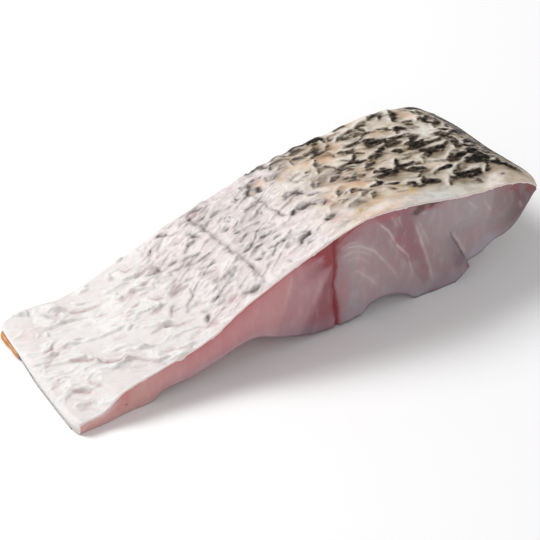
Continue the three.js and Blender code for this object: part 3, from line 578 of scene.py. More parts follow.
# masks for the skin's colours, each from 0 to 1: the strokes with ragged borders, a dark rim at the
# rear and dorsal edges, noises for tone and grain, and the tinted places
def skinMasks(f, rim):
    s, t = f.s, f.t
    rough = 1 + 0.5 * f.ragged
    mottled = layeredNoise(s / 5, (t + 0.15 * s) / 2.4, 271, 3) + 0.5 * f.ragged + 0.6 * f.clustered
    hatch = 0.65 + 0.55 * bell(bentNoise(s, t + 0.2 * s, 3.5, 0.9, 0.7, 431) / 0.25)
    # the thin lines are the skin's own grey; the wider sunk hollows about them are painted shade
    lined = 0.6 * f.wrinkle + (0.58 + 0.27 * ease(84, 96, s)) * f.sunk
    creased = (0.75 * f.crease + 0.25 * f.furrow) * (1 + 0.4 * f.ragged)
    grain = ease(0.05, 0.6, layeredNoise(s / 2.2, (t + 0.2 * s) / 1.3, 281, 3))
    nearFront = ease(9, 4, t)
    broken = ease(-0.35, 0.3, softNoise(s / 5, t / 3, 92))
    rearRim = ease(2.6, 0.3, f.rearT + 1.2 * softNoise(s / 3, t / 2, 91)) * ease(54, 100, s) * broken
    dorsalRim = ease(11, 5, frontRun - s + 8 * layeredNoise(t / 4, s / 3, 93, 3)) * ease(5, 10, t)
    masks = {
        # painted shade along the belly's folds and in the wide hollows about them
        "fold": np.clip((0.6 * f.fold + 0.6 * f.dip) * rough, 0, 1) * rim,
        # painted shade in the low places of the lumps and creping
        "hollow": ease(0.05, -0.3, f.lumps + f.creped) * rim,
        # grey lines of the wrinkles and creases, with painted shade in the soft hollows about them
        "wrinkle": lined * hatch + creased,
        "pigment": np.maximum(f.dark, 0.7 * dorsalRim) * (0.97 + 0.65 * mottled),
        # painted shade, partly brown pigment, in a wide band about the dark flap edges
        "dusk": f.dusk * rough,
        # painted highlight along the raised flap edges, less where the pigment is dark
        "flap": np.clip(f.flap * rough, 0, 1) * (1 - 0.7 * f.dark),
        # painted highlight on the ridges beside folds, wrinkles and creases
        "lip": (0.7 * (f.lip + f.brim) + 0.5 * f.ridge) * rough,
        "hem": bell((s - 130) / 14) * nearFront,
        "rim": rearRim,
        "grain": grain * (0.3 + 0.7 * f.middle) + 1.6 * grain * nearFront * f.back,
        "tone": 0.6 + 1.1 * layeredNoise(s / 7, t / 4, 95, 3) - 0.4 * f.clustered,
        "back": f.back,
        "middle": f.middle,
        "mature": ease(100, 120, s),
        "cutEdge": ease(0.4, 0, t),
    }
    for seed, (colour, rows) in enumerate(tintPatches.items(), 301):
        masks[colour] = drawPatches(s, t, rows, seed)
    cloudy = ease(0.1, 0.6, layeredNoise(s / 5, t / 4, 291, 3)) * f.middle * (1 - f.back)
    masks["grey"] = np.maximum(masks["grey"], 0.3 * cloudy)
    veil = bell((s - 112) / 13) * np.clip(0.5 + layeredNoise(s / 6, t / 4, 296, 2), 0, 1)
    masks["peach"] = np.maximum(masks["peach"], 0.65 * veil)
    return {name: np.clip(values, 0, 1) for name, values in masks.items()}


# skin: a grid over the whole top; its height is the portion's own plus the sum of all the forms, each
# times how far it stands up, and less of that along the front cut and at the rims
def makeSkin():
    n, m = skinLook["grid"]
    u, v = np.meshgrid(np.linspace(0, 1, n), np.linspace(0, 1, m), indexing="ij")
    x, y, z = planX(u, v), planY(u, v), skinHeight(u, v)
    s, t = u * frontRun, v * portion["width"]
    f = skinFields(s, t)
    relief = sum(height * getattr(f, name) for name, height in skinLook["heights"].items())
    bumps = sum(rise * bell((s - place) / half) for place, rise, half in rearBumps)
    relief += bumps * np.exp(-f.rearT / 2)

    rim = ease(0, 0.8, t) * (0.7 + 0.3 * ease(0, 1.2, f.rearT)) * ease(0, 0.014, u) * ease(0, 0.015, 1 - u)
    inside = ease(0, 1.8, t) * ease(0, 1.8, f.rearT) * ease(0, 0.02, u) * ease(0, 0.02, 1 - u)
    hem = ease(1.0, 6, t + 1.2 * softNoise(s / 9, t / 9, 3))  # drawn smooth along the front cut
    hem = hem + (1 - hem) * 0.6 * (1 - ease(80, 110, s))
    top = z + np.maximum(relief - 0.3, -0.2 - 1.6 * inside) * (0.15 + 0.85 * hem) * rim

    # the cut edges are rounded over and thin, with an uneven lower border, and the
    # belly end curls down to the table
    thick = skinLook["edgeThickness"] + (skinLook["thickness"] - skinLook["edgeThickness"]) * inside
    droop = 0.8 * np.clip(layeredNoise(s / 2.2, 0 * t, 97, 3), 0, 1) * (1 - bell((s - 128) / 6))
    thick += droop * (1 - ease(0, 1.5, t))
    top -= 0.15 * (1 - np.clip(t / 0.4, 0, 1)) ** 2
    nose = np.sqrt(1 - (1 - np.clip(s / 2.2, 0, 1)) ** 2)
    low = np.maximum(z - thick, 0.25)
    low -= (low - 0.15) * (1 - ease(0.5, 0.75, v)) * (1 - ease(0, 1.6 + 2 * ease(0, 4, t), s))
    top = low + (top - low) * (0.15 + 0.85 * nose)

    pick = (m - 1) - np.array(skinLook["under"])
    both = lambda above, below: np.concatenate([above, below[:, pick]], 1)
    rings = np.stack([both(x, x), both(y, y), both(top, low)], -1)
    marks = {name: both(values, 0 * values) for name, values in skinMasks(f, rim).items()}
    marks["cutEdge"][:, m:] = 1
    return ringMesh("skinSheet", rings, marks)


fleshLook = {
    "stations": 560,
    "ring": {"front": 110, "bottom": 16, "rear": 40, "top": 5},
    "lip": (0.5, 2.6),  # where the flesh starts behind the belly edge, and behind the fat
    "end": 169.8,
    "inset": 0.35,  # how far the cuts lie inside the skin's edge, in mm
    "groove": (0.7, 0.8),  # depth and half width along the seam
    "swell": 0.55,
    "rough": 0.18,
    "slit": (134.3, 26, 0.525),  # distance at a height, lean per mm of fall
    "step": 2.2,  # how far the front cut lies back beyond the slit
    "bottomShare": 0.985,  # shares of the width, on the boned side and under the skin
    "roofShare": 0.97,
    "roofGap": (0.45, 2.75),  # gap under the skin, and what is added at the dorsal end
    # the cut's own colour, by distance along it at a height of 22 mm
    "base": [(2, "salmon"), (20, "salmon"), (45, "rose"), (76, "rose"), (77.5, "mauve"), (88, "mauve"),
             (89.5, "wine"), (92, "wine"), (93.5, "ash"), (101, "pearl"), (118.4, "ash"), (119.4, "plum"),
             (125, "plum"), (126.4, "ash"), (140, "mist"), (150, "mist"), (158, "stone"), (164, "liver"),
             (170, "liver")],
    "salmon": tint(207, 156, 150),
    "rose": tint(199, 144, 146),
    "mauve": tint(181, 135, 141),
    "wine": tint(148, 90, 98),
    "ash": tint(159, 137, 141),
    "pearl": tint(173, 151, 154),
    "plum": tint(146, 106, 113),
    "mist": tint(168, 154, 158),
    "stone": tint(140, 126, 126),
    "liver": tint(114, 84, 88),
    # the sheets between the muscles, on both sides of the seam: place in that list, distance at
    # a height, lean per mm of fall
    "bellySheets": [(76.6, 77.2, 30.6, -0.258), (88.5, 90.9, 26.8, -0.5)],
    "seamPlace": 92.6,
    "backSheets": [(108, 101.8, 31.3, 0.8), (118.8, 108.4, 37.6, 0.571), (125.7, 122, 33, 0.3),
                   (136.4, 134.3, 26, 0.525)],
    # a darker tone towards the bottom of the cuts, and painted shade on the front cut beside the slit
    "dusk": tint(112, 92, 104),
    "blood": tint(146, 34, 44),
    "seam": tint(138, 36, 45),
    "clot": tint(88, 44, 46),
    "septa": tint(232, 214, 214),
    "rosy": tint(196, 92, 98),
    # painted bluish sheen and glints on the wet cut
    "paintedSheen": tint(176, 180, 198),
    # painted shade: a dark line in the slit and along the foot of the cuts
    "edge": tint(60, 50, 64),
    # each mask lays the tint of its own name over the base, in turn and this strongly; most are the
    # flesh's own colours, some painted shade and sheen
    "stainsAndPaintedLight": {"rosy": 0.7, "wine": 0.75, "dusk": 0.7, "mist": 0.7, "septa": 0.55, "paintedSheen": 0.4,
               "blood": 0.9, "clot": 0.85, "seam": 0.95, "edge": 0.6},
    "cloud": (110.0, 5.0),  # size and detail of the noise in the rosy clouds
    "fibre": (420.0, 4.0, (1.0, 0.3, 0.35)),  # size, detail and stretch of that in the pale fibres
    "faint": 0.16,  # strength of both
    "shader": {"Subsurface Weight": 0.25, "Subsurface Radius": (1.0, 0.45, 0.4),
               "Subsurface Scale": 1.2 * mm},
    "moisture": {"Fineness": 500.0, "Wet": 0.3, "Dry": 0.46, "bump": 0.2},
}

# the blood seam in the cut face, as points (distance, height)
seamLine = [(93.2, 37.5), (92.6, 34), (92.7, 26), (92.2, 19.4), (93, 12), (94, 4.8), (94, 1)]

# other lines there, each with its half width and strength: the pale sheets between the muscles,
# threads of blood, and a line of painted shade in the slit
fleshLines = {
    "septa": [
        (0.35, 0.6, [(93.5, 31.2), (97.5, 32.6), (101.8, 31.3), (106.9, 27.5), (112, 20.4), (116.1, 13.3),
                     (118, 8.6)]),
        (0.25, 0.45, [(94.5, 32.9), (98, 34), (101.5, 33)]),
        (0.25, 0.45, [(94.5, 29.2), (98.5, 30.2), (102.5, 28.8), (106, 25.5)]),
        (0.3, 0.3, [(96.5, 27), (99, 27.6), (102, 26.6), (106, 22)]),
        (0.4, 0.45, [(98.5, 22), (101, 21.6), (105, 17.5), (109, 12)]),
        (0.3, 0.95, [(106.5, 39), (108.4, 37.6), (112.2, 33.3), (115.5, 26.5), (119.6, 20.7),
                     (121.7, 14.3), (123, 8)]),
        (0.25, 0.45, [(115.7, 37.9), (117.9, 30.9)]),
        (0.25, 0.35, [(113.2, 38.6), (116, 32.6)]),
        (0.45, 0.6, [(122.4, 33), (122.9, 30.9), (125.1, 23.8), (127.4, 16.7), (130, 7.2), (130.9, 3.3)]),
        (0.25, 0.35, [(123.5, 33), (126.5, 26), (129, 19)]),
        (0.4, 0.45, [(142.4, 33.1), (147.2, 27.7)]),
        (0.4, 0.5, [(148.9, 31.1), (151.9, 25.1)]),
        (0.35, 0.5, [(162.9, 25.4), (164.5, 21.4)]),
        (0.5, 0.7, [(137.6, 21.8), (141.4, 15.4), (145.4, 7.4)]),
        (0.3, 0.3, [(77.2, 30.6), (75, 23), (73.2, 14.7)]),
        (0.25, 0.3, [(83.5, 31.5), (87, 31.8), (90, 29.5), (91, 27)]),
    ],
    "blood": [
        (0.3, 0.8, [(80, 32.6), (84, 33.6), (87.5, 34.6), (90.5, 33.4), (92.4, 30.5)]),
        (0.4, 0.7, [(92.8, 34.5), (95.5, 37), (100, 39.6), (104, 40.8)]),
        (0.3, 0.5, [(133, 38.2), (141, 36), (150, 34.4)]),
        (0.3, 0.4, [(160, 31.6), (163.2, 27.5), (163.8, 24)]),
    ],
    # painted shade: a dark line in the slit
    "edge": [(0.3, 0.8, [(136.4, 22), (140.4, 14.5), (144, 7.1)])],
}

# places in the cut face: middle (distance, height), half sizes, rise along the distance, strength
fleshPatches = {
    "septa": [
        (8, 4.9, 5, 1.1, 0.22, 1.6), (125.7, 34.9, 0.8, 0.4, 0, 1.2), (130.4, 36.2, 0.9, 0.45, 0.3, 1.2),
    ],
    "clot": [(124.4, 37.1, 2.6, 1.5, 0.3, 3.2), (128.8, 38, 4.2, 1.3, -0.05, 2.6)],
    "blood": [
        (89.2, 34.9, 4.4, 1.7, 0.42, 1.5), (90.4, 31.2, 2.5, 3.2, 0.2, 1.4),
        (126.3, 37.4, 4.4, 1.6, -0.3, 1), (17, 4, 0.4, 0.35, 0, 1), (160, 31.4, 1.6, 0.8, 0, 0.6),
        (166.8, 28.4, 1.2, 1, 0, 0.6), (144, 5.4, 1.1, 1.3, 0, 0.6),
    ],
    "wine": [
        (87, 28.8, 4.6, 3.6, 0.3, 0.9), (96.6, 34.6, 4.6, 2.8, 0.42, 0.75), (109, 31, 3, 3.4, -0.8, 0.5),
    ],
    "rosy": [
        (15.5, 6.6, 4, 2.6, 0.4, 0.55), (96, 13, 2.2, 10, 0, 0.4), (112, 38.6, 5, 1.2, -0.1, 0.5),
        (158, 31, 4, 1.6, 0, 0.4),
    ],
    "mist": [
        (123.8, 11.5, 3, 6, -0.6, 0.75), (130.2, 5.6, 3.2, 3.6, 0, 1.3), (132.6, 25.6, 2.8, 4.4, 0, 0.9),
        (99, 9, 2.4, 4, 0, 0.45),
    ],
    # darker places; the first of them, just short of the slit, is painted shade
    "dusk": [
        (140.6, 8.6, 2.6, 4, -1.2, 0.8), (133, 6, 5, 4, 0, 0.4), (165, 22, 4, 5, 0, 0.4),
        (84, 4, 8, 3, 0, 0.5), (155, 27, 3, 4, 0, 0.3),
    ],
    # painted bluish glints and sheen
    "paintedSheen": [
        (124.2, 1.4, 1.8, 1.2, 0, 1), (149, 8.4, 3.4, 1.1, 0.3, 0.9), (153.6, 12, 2, 2, 0, 0.6),
        (100, 12, 3.4, 8, 0, 0.4), (104.4, 3.4, 1, 1, 0, 0.9), (108.6, 5.6, 1.2, 0.8, 0, 0.8),
        (46, 7, 12, 1.4, 0.1, 0.5),
    ],
}


# a leaning line in the cut face: its distance at one height, plus the lean for every mm below that
def leaning(h, top, height, lean):
    return top + lean * (height - h)


# distance of the blood seam at each height, straight between its points
def seamAt(h):
    return np.interp(-h, [-height for _, height in seamLine], [distance for distance, _ in seamLine])


# distance in mm from each point of a face to a line of several points, and the share of the
# line's length at which it comes nearest
def nearLine(s, h, line):
    steps = [math.dist(a, b) for a, b in zip(line[:-1], line[1:])]
    best, share = np.full_like(s, 1e3), np.zeros_like(s)
    for k, ((s0, h0), (s1, h1)) in enumerate(zip(line[:-1], line[1:])):
        q = np.clip(((s - s0) * (s1 - s0) + (h - h0) * (h1 - h0)) / steps[k] ** 2, 0, 1)
        away = np.hypot(s - s0 - q * (s1 - s0), h - h0 - q * (h1 - h0))
        share = np.where(away < best, (sum(steps[:k]) + q * steps[k]) / sum(steps), share)
        best = np.minimum(best, away)
    return best, share


# a drawn line: bell-shaped across, with a faint veil beside it, and fading at both ends
def drawLine(s, h, half, strength, line):
    away, share = nearLine(s, h, line)
    across = bell(away / half) + 0.22 * bell(away / (half + 1.2))
    return strength * across * ease(0, 0.15, share) * ease(1, 0.75, share)


# distance along the portion of each station of the flesh: an even run from behind the belly edge,
# further in behind the fat, to the dorsal end
def fleshRun(v):
    near, far = fleshLook["lip"]
    start = near + (far - near) * ease(0.6, 0.7, v)
    return start + np.linspace(0, 1, fleshLook["stations"])[:, None] * (fleshLook["end"] - start)


# a cut face from the skin down, at v 0 or 1: its points, and for each its distance, its share of the
# way down and its height on the front cut; its depth is a small inset plus the seam's groove and, in
# front, the step where a block has come away, less a swelling
def cutFace(count, v):
    q = np.linspace(0, 1, count)[None, :] + np.zeros((fleshLook["stations"], 1))
    v = v + 0 * q
    s = fleshRun(v)
    u = s / frontRun
    high, low = skinHeight(u, v) - skinLook["edgeThickness"] + 0.05, underHeight(u, v)
    frontHigh, frontLow = skinHeight(u, 0 * v) - 0.7, underHeight(u, 0 * v)
    h = frontHigh + (frontLow - frontHigh) * q
    wobble = 0.4 * layeredNoise(h / 3, s / 3, 101, 2)
    deep, half = fleshLook["groove"]
    groove = deep * bell((s - seamAt(h) - wobble) / half) * ease(0, 0.05, q)
    pastSlit = ease(-0.2, 0.6, s - leaning(h, *fleshLook["slit"]) - wobble)
    lost = pastSlit * ease(0, 8, fleshLook["slit"][1] - h) * (1 - ease(150, 168, s)) * (1 - v)
    swell = fleshLook["swell"] * np.sin(np.pi * q)
    swell -= fleshLook["rough"] * layeredNoise(s / 6, h / 5, 103, 3)
    depth = fleshLook["inset"] + groove + fleshLook["step"] * lost - swell
    points = np.stack([planX(u, v), planY(u, v) + (1 - 2 * v) * depth, high + (low - high) * q], -1)
    return points, s, q, h


# how far along the list of base colours each point of a cut lies: an even run between the sheets, which
# lean away from the seam on both sides
def baseRun(s, h):
    seam = seamAt(h)
    sheets = [(0, 0 * s)]
    for place, *sheet in fleshLook["bellySheets"]:
        sheets.append((place, np.minimum(leaning(h, *sheet), seam - 0.4)))
    sheets.append((fleshLook["seamPlace"], seam))
    for place, *sheet in fleshLook["backSheets"]:
        sheets.append((place, leaning(h, *sheet)))
    sheets.append((frontRun, frontRun + 0 * s))
    return sum((b - a) * np.clip((s - low) / (high - low), 0, 1)
               for (a, low), (b, high) in zip(sheets[:-1], sheets[1:]))


# masks for the flesh's colours, each from 0 to 1: the seam, lines and places above,
# broken up by noise, then blood and rose that fade with depth under the skin, and a darker tone,
# a painted bluish sheen and a dark line of painted shade that grow downwards, with painted shade beside
# the slit
def fleshMasks(s, h, q, onFront):
    depth = skinHeight(s / frontRun, 0 * s) - h
    wobble = 0.4 * layeredNoise(h / 4, s / 4, 107, 2)
    broken = np.clip(0.85 + 0.7 * layeredNoise(s / 4, h / 4, 113, 3), 0.3, 1.2)
    uneven = np.clip(1 + 0.8 * layeredNoise(s / 3, h / 2.2, 117, 3), 0, 2)
    seam = nearLine(s + wobble, h, seamLine)[0]
    seamHalf = 0.32 + 0.6 * ease(17, 11, h) + 0.2 * ease(24, 28, h)
    seamHalf = seamHalf * (1 + 0.6 * layeredNoise(h / 2.2, 0 * h, 119, 2))
    masks = {
        "along": baseRun(s + wobble, h) / frontRun,
        "seam": bell(seam / seamHalf) + 0.3 * bell(seam / 1.8),
    }
    for name, rows in fleshLines.items():
        masks[name] = sum(drawLine(s + 0.5 * wobble, h, *row) for row in rows) * broken
    for name, rows in fleshPatches.items():
        spots = [strength * bell((s - s0) / a, (h - h0 - rise * (s - s0)) / b)
                 for s0, h0, a, b, rise, strength in rows]
        masks[name] = masks.get(name, 0) + np.max(spots, 0) * uneven

    fade = 1 + 0.5 * layeredNoise(s / 6, h / 9, 109, 2)
    underSkin = lambda reach: np.exp(-np.maximum(depth - 0.6, 0) / (reach * fade))
    masks["blood"] += 0.6 * underSkin(0.6) * ease(30, 60, s) * (1 - 0.6 * ease(104, 130, s))
    masks["rosy"] += 0.95 * underSkin(3) * ease(25, 50, s) * (1 - ease(96, 112, s)) + 0.3 * underSkin(1.0)
    # painted shade on the front cut beside the slit, where a block has come away
    beside = np.clip(leaning(h, *fleshLook["slit"]) - s, -1, 20)
    besideSlit = ease(-0.3, 0.2, beside) * np.exp(-beside / 3.5) * onFront
    masks["dusk"] += 0.7 * besideSlit * ease(25, 17, h) * ease(5, 10, h + 8 * ease(2, 0, beside))
    # darker towards the bottom of the cut, in two stretches
    masks["dusk"] += 0.25 * ease(0.5, 1, q) * ease(20, 40, s) * ease(88, 76, s)
    masks["dusk"] += 0.4 * ease(0.7, 1, q) * ease(98, 112, s) * ease(150, 130, s)
    # painted bluish sheen along the lower part of the cuts
    masks["paintedSheen"] += 0.5 * ease(0.75, 1, q)
    # painted shade: the slit's dark line on the front cut only, and a dark line along the foot of both
    # cuts
    masks["edge"] = masks["edge"] * onFront + 0.8 * ease(0.96, 1, q)
    return {name: np.clip(values, 0, 1) for name, values in masks.items()}


# flesh: rings down the front cut, along the boned side, up the rear cut and back under the skin
def makeFlesh():
    ring = fleshLook["ring"]
    front, sFront, qFront, hFront = cutFace(ring["front"], 0.0)
    rear, sRear, qRear, hRear = cutFace(ring["rear"], 1.0)
    between = lambda count: np.linspace(0, 1, count + 2)[None, 1:-1] + np.zeros((fleshLook["stations"], 1))
    vb, vt = between(ring["bottom"]), between(ring["top"])[:, ::-1]
    sb, st = fleshRun(vb), fleshRun(vt)
    ub, ut = sb / frontRun, st / frontRun
    bottom = np.stack([planX(ub, vb), planY(ub, vb) * fleshLook["bottomShare"], underHeight(ub, vb)], -1)
    gap, dorsalGap = fleshLook["roofGap"]
    roof = skinHeight(ut, vt) - gap - dorsalGap * ease(1, 0.965, ut)
    roof = np.maximum(roof, underHeight(ut, vt) + 0.2)
    under = np.stack([planX(ut, vt), planY(ut, vt) * fleshLook["roofShare"], roof], -1)
    rings = np.concatenate([front, bottom, rear[:, ::-1], under], 1)[:, ::-1]

    joined = lambda a, b, c, d: np.concatenate([a, b + 0 * vb, c[:, ::-1], d + 0 * vt], 1)[:, ::-1]
    s, h, q = joined(sFront, sb, sRear, st), joined(hFront, -5, hRear, 60), joined(qFront, 1, qRear, 0)
    onFront = joined(1 + 0 * qFront, 0, 0 * qRear, 0)
    onCut = onFront + joined(0 * qFront, 0, 1 + 0 * qRear, 0)
    marks = fleshMasks(s, h, q, onFront)
    return ringMesh("fleshBlock", rings, {name: values if name == "along" else values * onCut
                                          for name, values in marks.items()})


fatLook = {
    "from": 12.5,
    "to": 26.6,
    "thickness": 1.2,
    "height": 1.25,
    "amber": tint(214, 148, 78),
    "brown": tint(168, 108, 70),
    "cloud": (300.0, 2.0),  # size and detail of the noise between the two
    "shader": {"Subsurface Weight": 0.3, "Subsurface Scale": 2 * mm},
    "moisture": {"Fineness": 600.0, "Wet": 0.28, "Dry": 0.42, "bump": 0.15},
}


# fat: a strip along the belly end, round in section, whose thickness swells in two lumps
def makeFat():
    w, a = np.meshgrid(np.linspace(0, 1, 60), np.linspace(0, 2 * np.pi, 26)[:-1], indexing="ij")
    y = fatLook["from"] + (fatLook["to"] - fatLook["from"]) * w
    lump = 1 - 0.35 * bell((w - 0.42) / 0.12)
    body = np.sqrt(np.clip(1 - (2 * w - 1) ** 4, 0, 1)) * (0.7 + 0.3 * w) * lump
    x = 0.75 - portion["length"] / 2 - fatLook["thickness"] * body * np.cos(a) + 0.7 * ease(0.8, 1, w)
    z = 1.35 + fatLook["height"] * body * np.sin(a) + 0.08 * softNoise(w * 12, a, 121)
    rings = np.stack([x, y, np.maximum(z, 0.15)], -1)[:, ::-1]
    return ringMesh("fatStrip", rings, {})


# an input of a node, linked where the value is another node's output and
# set where it is a number or a colour
def plug(tree, socket, value):
    if isinstance(value, bpy.types.NodeSocket):
        tree.links.new(value, socket)
    else:
        socket.default_value = value


# a node with its settings and its inputs
def addNode(tree, kind, values=None, **settings):
    node = tree.nodes.new(kind)
    for key, value in settings.items():
        setattr(node, key, value)
    for key, value in (values or {}).items():
        plug(tree, node.inputs[key], value)
    return node


# a mask that the mesh carries
def mark(tree, name):
    return addNode(tree, "ShaderNodeAttribute", attribute_name=name).outputs["Fac"]


# two colours mixed by an amount from 0 to 1
def blendColour(tree, amount, first, second):
    node = addNode(tree, "ShaderNodeMix", data_type="RGBA")
    for index, value in ((0, amount), (6, first), (7, second)):
        plug(tree, node.inputs[index], value)
    return node.outputs[2]


# the product of two values
def times(tree, first, second):
    return addNode(tree, "ShaderNodeMath", {0: first, 1: second}, operation="MULTIPLY").outputs[0]


# a value stretched from one range to another, held at the ends
def stretch(tree, value, low, high, toLow=0.0, toHigh=1.0):
    ends = {"Value": value, "From Min": low, "From Max": high, "To Min": toLow, "To Max": toHigh}
    return addNode(tree, "ShaderNodeMapRange", ends).outputs[0]


# noise on a piece's own coordinates, drawn out by a scale in each direction
def noise(tree, size, detail, drawn=None):
    place = addNode(tree, "ShaderNodeTexCoord").outputs["Object"]
    if drawn:
        place = addNode(tree, "ShaderNodeMapping", {"Vector": place, "Scale": drawn}).outputs[0]
    values = {"Vector": place, "Scale": size, "Detail": detail}
    return addNode(tree, "ShaderNodeTexNoise", values).outputs["Fac"]


# tints laid over a colour in turn, each by the mask of its name times its strength, whether real stains or
# painted light
def layStainsAndPaintedLight(tree, look, colour, stainsAndPaintedLight):
    for name, strength in stainsAndPaintedLight.items():
        colour = blendColour(tree, times(tree, mark(tree, name), strength), colour, look[name])
    return colour


# moisture: fine uneven gloss over the whole surface, shared by skin, flesh and fat
def moistureGroup():
    group = bpy.data.node_groups.new("moisture", "ShaderNodeTree")
    for name in ("Fineness", "Dry", "Wet"):
        group.interface.new_socket(name, in_out="INPUT", socket_type="NodeSocketFloat")
    for name in ("Roughness", "Height"):
        group.interface.new_socket(name, in_out="OUTPUT", socket_type="NodeSocketFloat")
    given = group.nodes.new("NodeGroupInput").outputs
    result = group.nodes.new("NodeGroupOutput").inputs
    fine = noise(group, given["Fineness"], 3.0)
    group.links.new(stretch(group, fine, 0.35, 0.65, given["Wet"], given["Dry"]), result["Roughness"])
    group.links.new(fine, result["Height"])
    return group


moisture = moistureGroup()


# an empty material with one shader, its inputs set
def newMaterial(name, inputs):
    material = bpy.data.materials.new(name)
    material.use_nodes = True
    tree = material.node_tree
    tree.nodes.clear()
    shader = addNode(tree, "ShaderNodeBsdfPrincipled", inputs)
    addNode(tree, "ShaderNodeOutputMaterial", {"Surface": shader.outputs[0]})
    return material, tree, shader


# a piece's colour, with the moisture group's roughness between wet and
# dry and its height as a fine bump
def finishSurface(tree, shader, colour, look):
    wetness = addNode(tree, "ShaderNodeGroup", node_tree=moisture)
    for name in ("Fineness", "Wet", "Dry"):
        wetness.inputs[name].default_value = look[name]
    bump = addNode(tree, "ShaderNodeBump", {"Height": wetness.outputs["Height"], "Strength": look["bump"],
                                            "Distance": 0.3 * mm})
    tree.links.new(colour, shader.inputs["Base Color"])
    tree.links.new(wetness.outputs["Roughness"], shader.inputs["Roughness"])
    tree.links.new(bump.outputs[0], shader.inputs["Normal"])


# skin: belly, middle and back blended by their masks, stained and painted with shade and highlights in
# turn;
# the pigment mask, speckled by noise, goes on thin and brown, then full: grey in the middle, dark at the
# back
def skinMaterial():
    look = skinLook
    material, tree, shader = newMaterial("fishSkin", look["shader"])
    cream = blendColour(tree, mark(tree, "tone"), look["cream"], look["white"])
    colour = blendColour(tree, mark(tree, "middle"), look["bellyGround"], look["middleGround"])
    colour = blendColour(tree, mark(tree, "back"), colour, cream)
    colour = layStainsAndPaintedLight(tree, look, colour, look["stainsAndPaintedLight"])
    speck = stretch(tree, noise(tree, *look["speck"]), 0.3, 0.7, 0.4, 1.45)
    dark = times(tree, mark(tree, "pigment"), speck)
    thin = times(tree, stretch(tree, dark, 0.05, 0.5, 0.0, 0.85), mark(tree, "mature"))
    colour = blendColour(tree, thin, colour, look["umber"])
    pigment = blendColour(tree, mark(tree, "mature"), look["greyPigment"], look["darkPigment"])
    colour = blendColour(tree, stretch(tree, dark, 0.35, 0.95), colour, pigment)
    colour = layStainsAndPaintedLight(tree, look, colour, look["edgeStains"])
    finishSurface(tree, shader, colour, look["moisture"])
    return material


# flesh: the base colours on a ramp along the cut, with rosy clouds and pale fibres, stained and painted
# with shade and sheen in turn
def fleshMaterial():
    look = fleshLook
    material, tree, shader = newMaterial("rawFlesh", look["shader"])
    ramp = addNode(tree, "ShaderNodeValToRGB", {"Fac": mark(tree, "along")})
    stops = ramp.color_ramp.elements
    while len(stops) < len(look["base"]):
        stops.new(0.5)
    for stop, (distance, tone) in zip(stops, look["base"]):
        stop.position, stop.color = distance / frontRun, look[tone]
    cloud = times(tree, stretch(tree, noise(tree, *look["cloud"]), 0.42, 0.72), look["faint"])
    fibre = times(tree, stretch(tree, noise(tree, *look["fibre"]), 0.5, 0.75), look["faint"])
    colour = blendColour(tree, cloud, ramp.outputs["Color"], look["rosy"])
    colour = blendColour(tree, fibre, colour, look["septa"])
    colour = layStainsAndPaintedLight(tree, look, colour, look["stainsAndPaintedLight"])
    finishSurface(tree, shader, colour, look["moisture"])
    return material


# fat: amber and brown mixed by noise
def fatMaterial():
    look = fatLook
    material, tree, shader = newMaterial("bellyFat", look["shader"])
    colour = blendColour(tree, noise(tree, *look["cloud"]), look["amber"], look["brown"])
    finishSurface(tree, shader, colour, look["moisture"])
    return material


for build, dress, node, slotName in (
    (makeSkin, skinMaterial, "skin", "skin"),
    (makeFlesh, fleshMaterial, "flesh", "flesh"),
    (makeFat, fatMaterial, "belly_fat", "fat"),
):
    piece = build()
    piece.data.materials.append(dress())
    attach(piece, "root")
    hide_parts(node)
    print("made", piece.name, len(piece.data.polygons), "faces")

stageLook = {
    "floor": {"Base Color": (0.97, 0.97, 0.97, 1), "Roughness": 0.8},
    "floorHalf": 4.0,  # metres
    "sky": 0.42,
    "key": {"place": (-0.5, 0.6, 0.9), "size": 0.5, "power": 11.5},
    "fill": {"place": (-0.3, -1.0, 0.7), "size": 0.9, "power": 2.2},
}


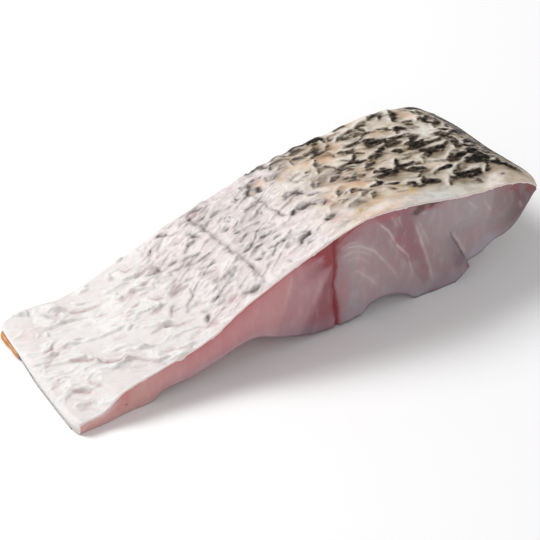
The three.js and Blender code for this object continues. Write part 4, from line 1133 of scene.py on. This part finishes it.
# floor: one large square under the fillet
def makeFloor():
    corners = np.array([(-1, -1, 0), (1, -1, 0), (1, 1, 0), (-1, 1, 0)]) * stageLook["floorHalf"]
    mesh = bpy.data.meshes.new("floor")
    mesh.from_pydata(corners.tolist(), [], [(0, 1, 2, 3)])
    floor = bpy.data.objects.new("floor", mesh)
    bpy.context.collection.objects.link(floor)
    mesh.materials.append(newMaterial("paleFloor", stageLook["floor"])[0])


# a square soft light, turned to face the middle of the floor
def addLight(name):
    look = stageLook[name]
    data = bpy.data.lights.new(name, "AREA")
    data.size, data.energy = look["size"], look["power"]
    lamp = bpy.data.objects.new(name, data)
    lamp.location = look["place"]
    x, y, z = look["place"]
    lamp.rotation_euler = (math.acos(z / math.hypot(x, y, z)), 0, math.atan2(x, -y))
    bpy.context.collection.objects.link(lamp)


makeFloor()
addLight("key")
addLight("fill")
world = bpy.data.worlds.new("studio")
world.use_nodes = True
sky = world.node_tree.nodes["Background"].inputs
sky["Color"].default_value = (1, 1, 1, 1)
sky["Strength"].default_value = stageLook["sky"]
bpy.context.scene.world = world
bpy.context.scene.view_settings.view_transform = "Standard"

cameraLook = {
    "azimuth": -30.59,
    "elevation": 40,
    "distance": 0.8,
    "focus": 2480,  # focal length in pixels
    "image": 540,  # width in pixels
    "sensor": 36,  # width in mm
    "aim": (-0.55, 0, 12),  # mm
    "offset": (1.2, 4.2),  # how many pixels the aim lies right of and above the middle of the image
}


# camera: at a distance from the aim, by azimuth and elevation, moved so
# that the aim lies off the middle
def makeCamera():
    look = cameraLook
    azimuth, elevation = math.radians(look["azimuth"]), math.radians(look["elevation"])
    right = np.array([math.cos(azimuth), math.sin(azimuth), 0])
    level = np.array([math.sin(azimuth), -math.cos(azimuth), 0])
    backward = level * math.cos(elevation) + np.array([0, 0, math.sin(elevation)])
    upward = np.cross(backward, right)
    pixel = look["distance"] / look["focus"]
    aim = np.array(look["aim"]) * mm - (right * look["offset"][0] + upward * look["offset"][1]) * pixel
    data = bpy.data.cameras.new("photoAngle")
    data.sensor_width, data.lens = look["sensor"], look["focus"] * look["sensor"] / look["image"]
    camera = bpy.data.objects.new("photoAngle", data)
    camera.location = aim + backward * look["distance"]
    camera.rotation_euler = (math.pi / 2 - elevation, 0, azimuth)
    bpy.context.collection.objects.link(camera)
    return camera


bpy.context.scene.camera = makeCamera()
print("camera and lights set")
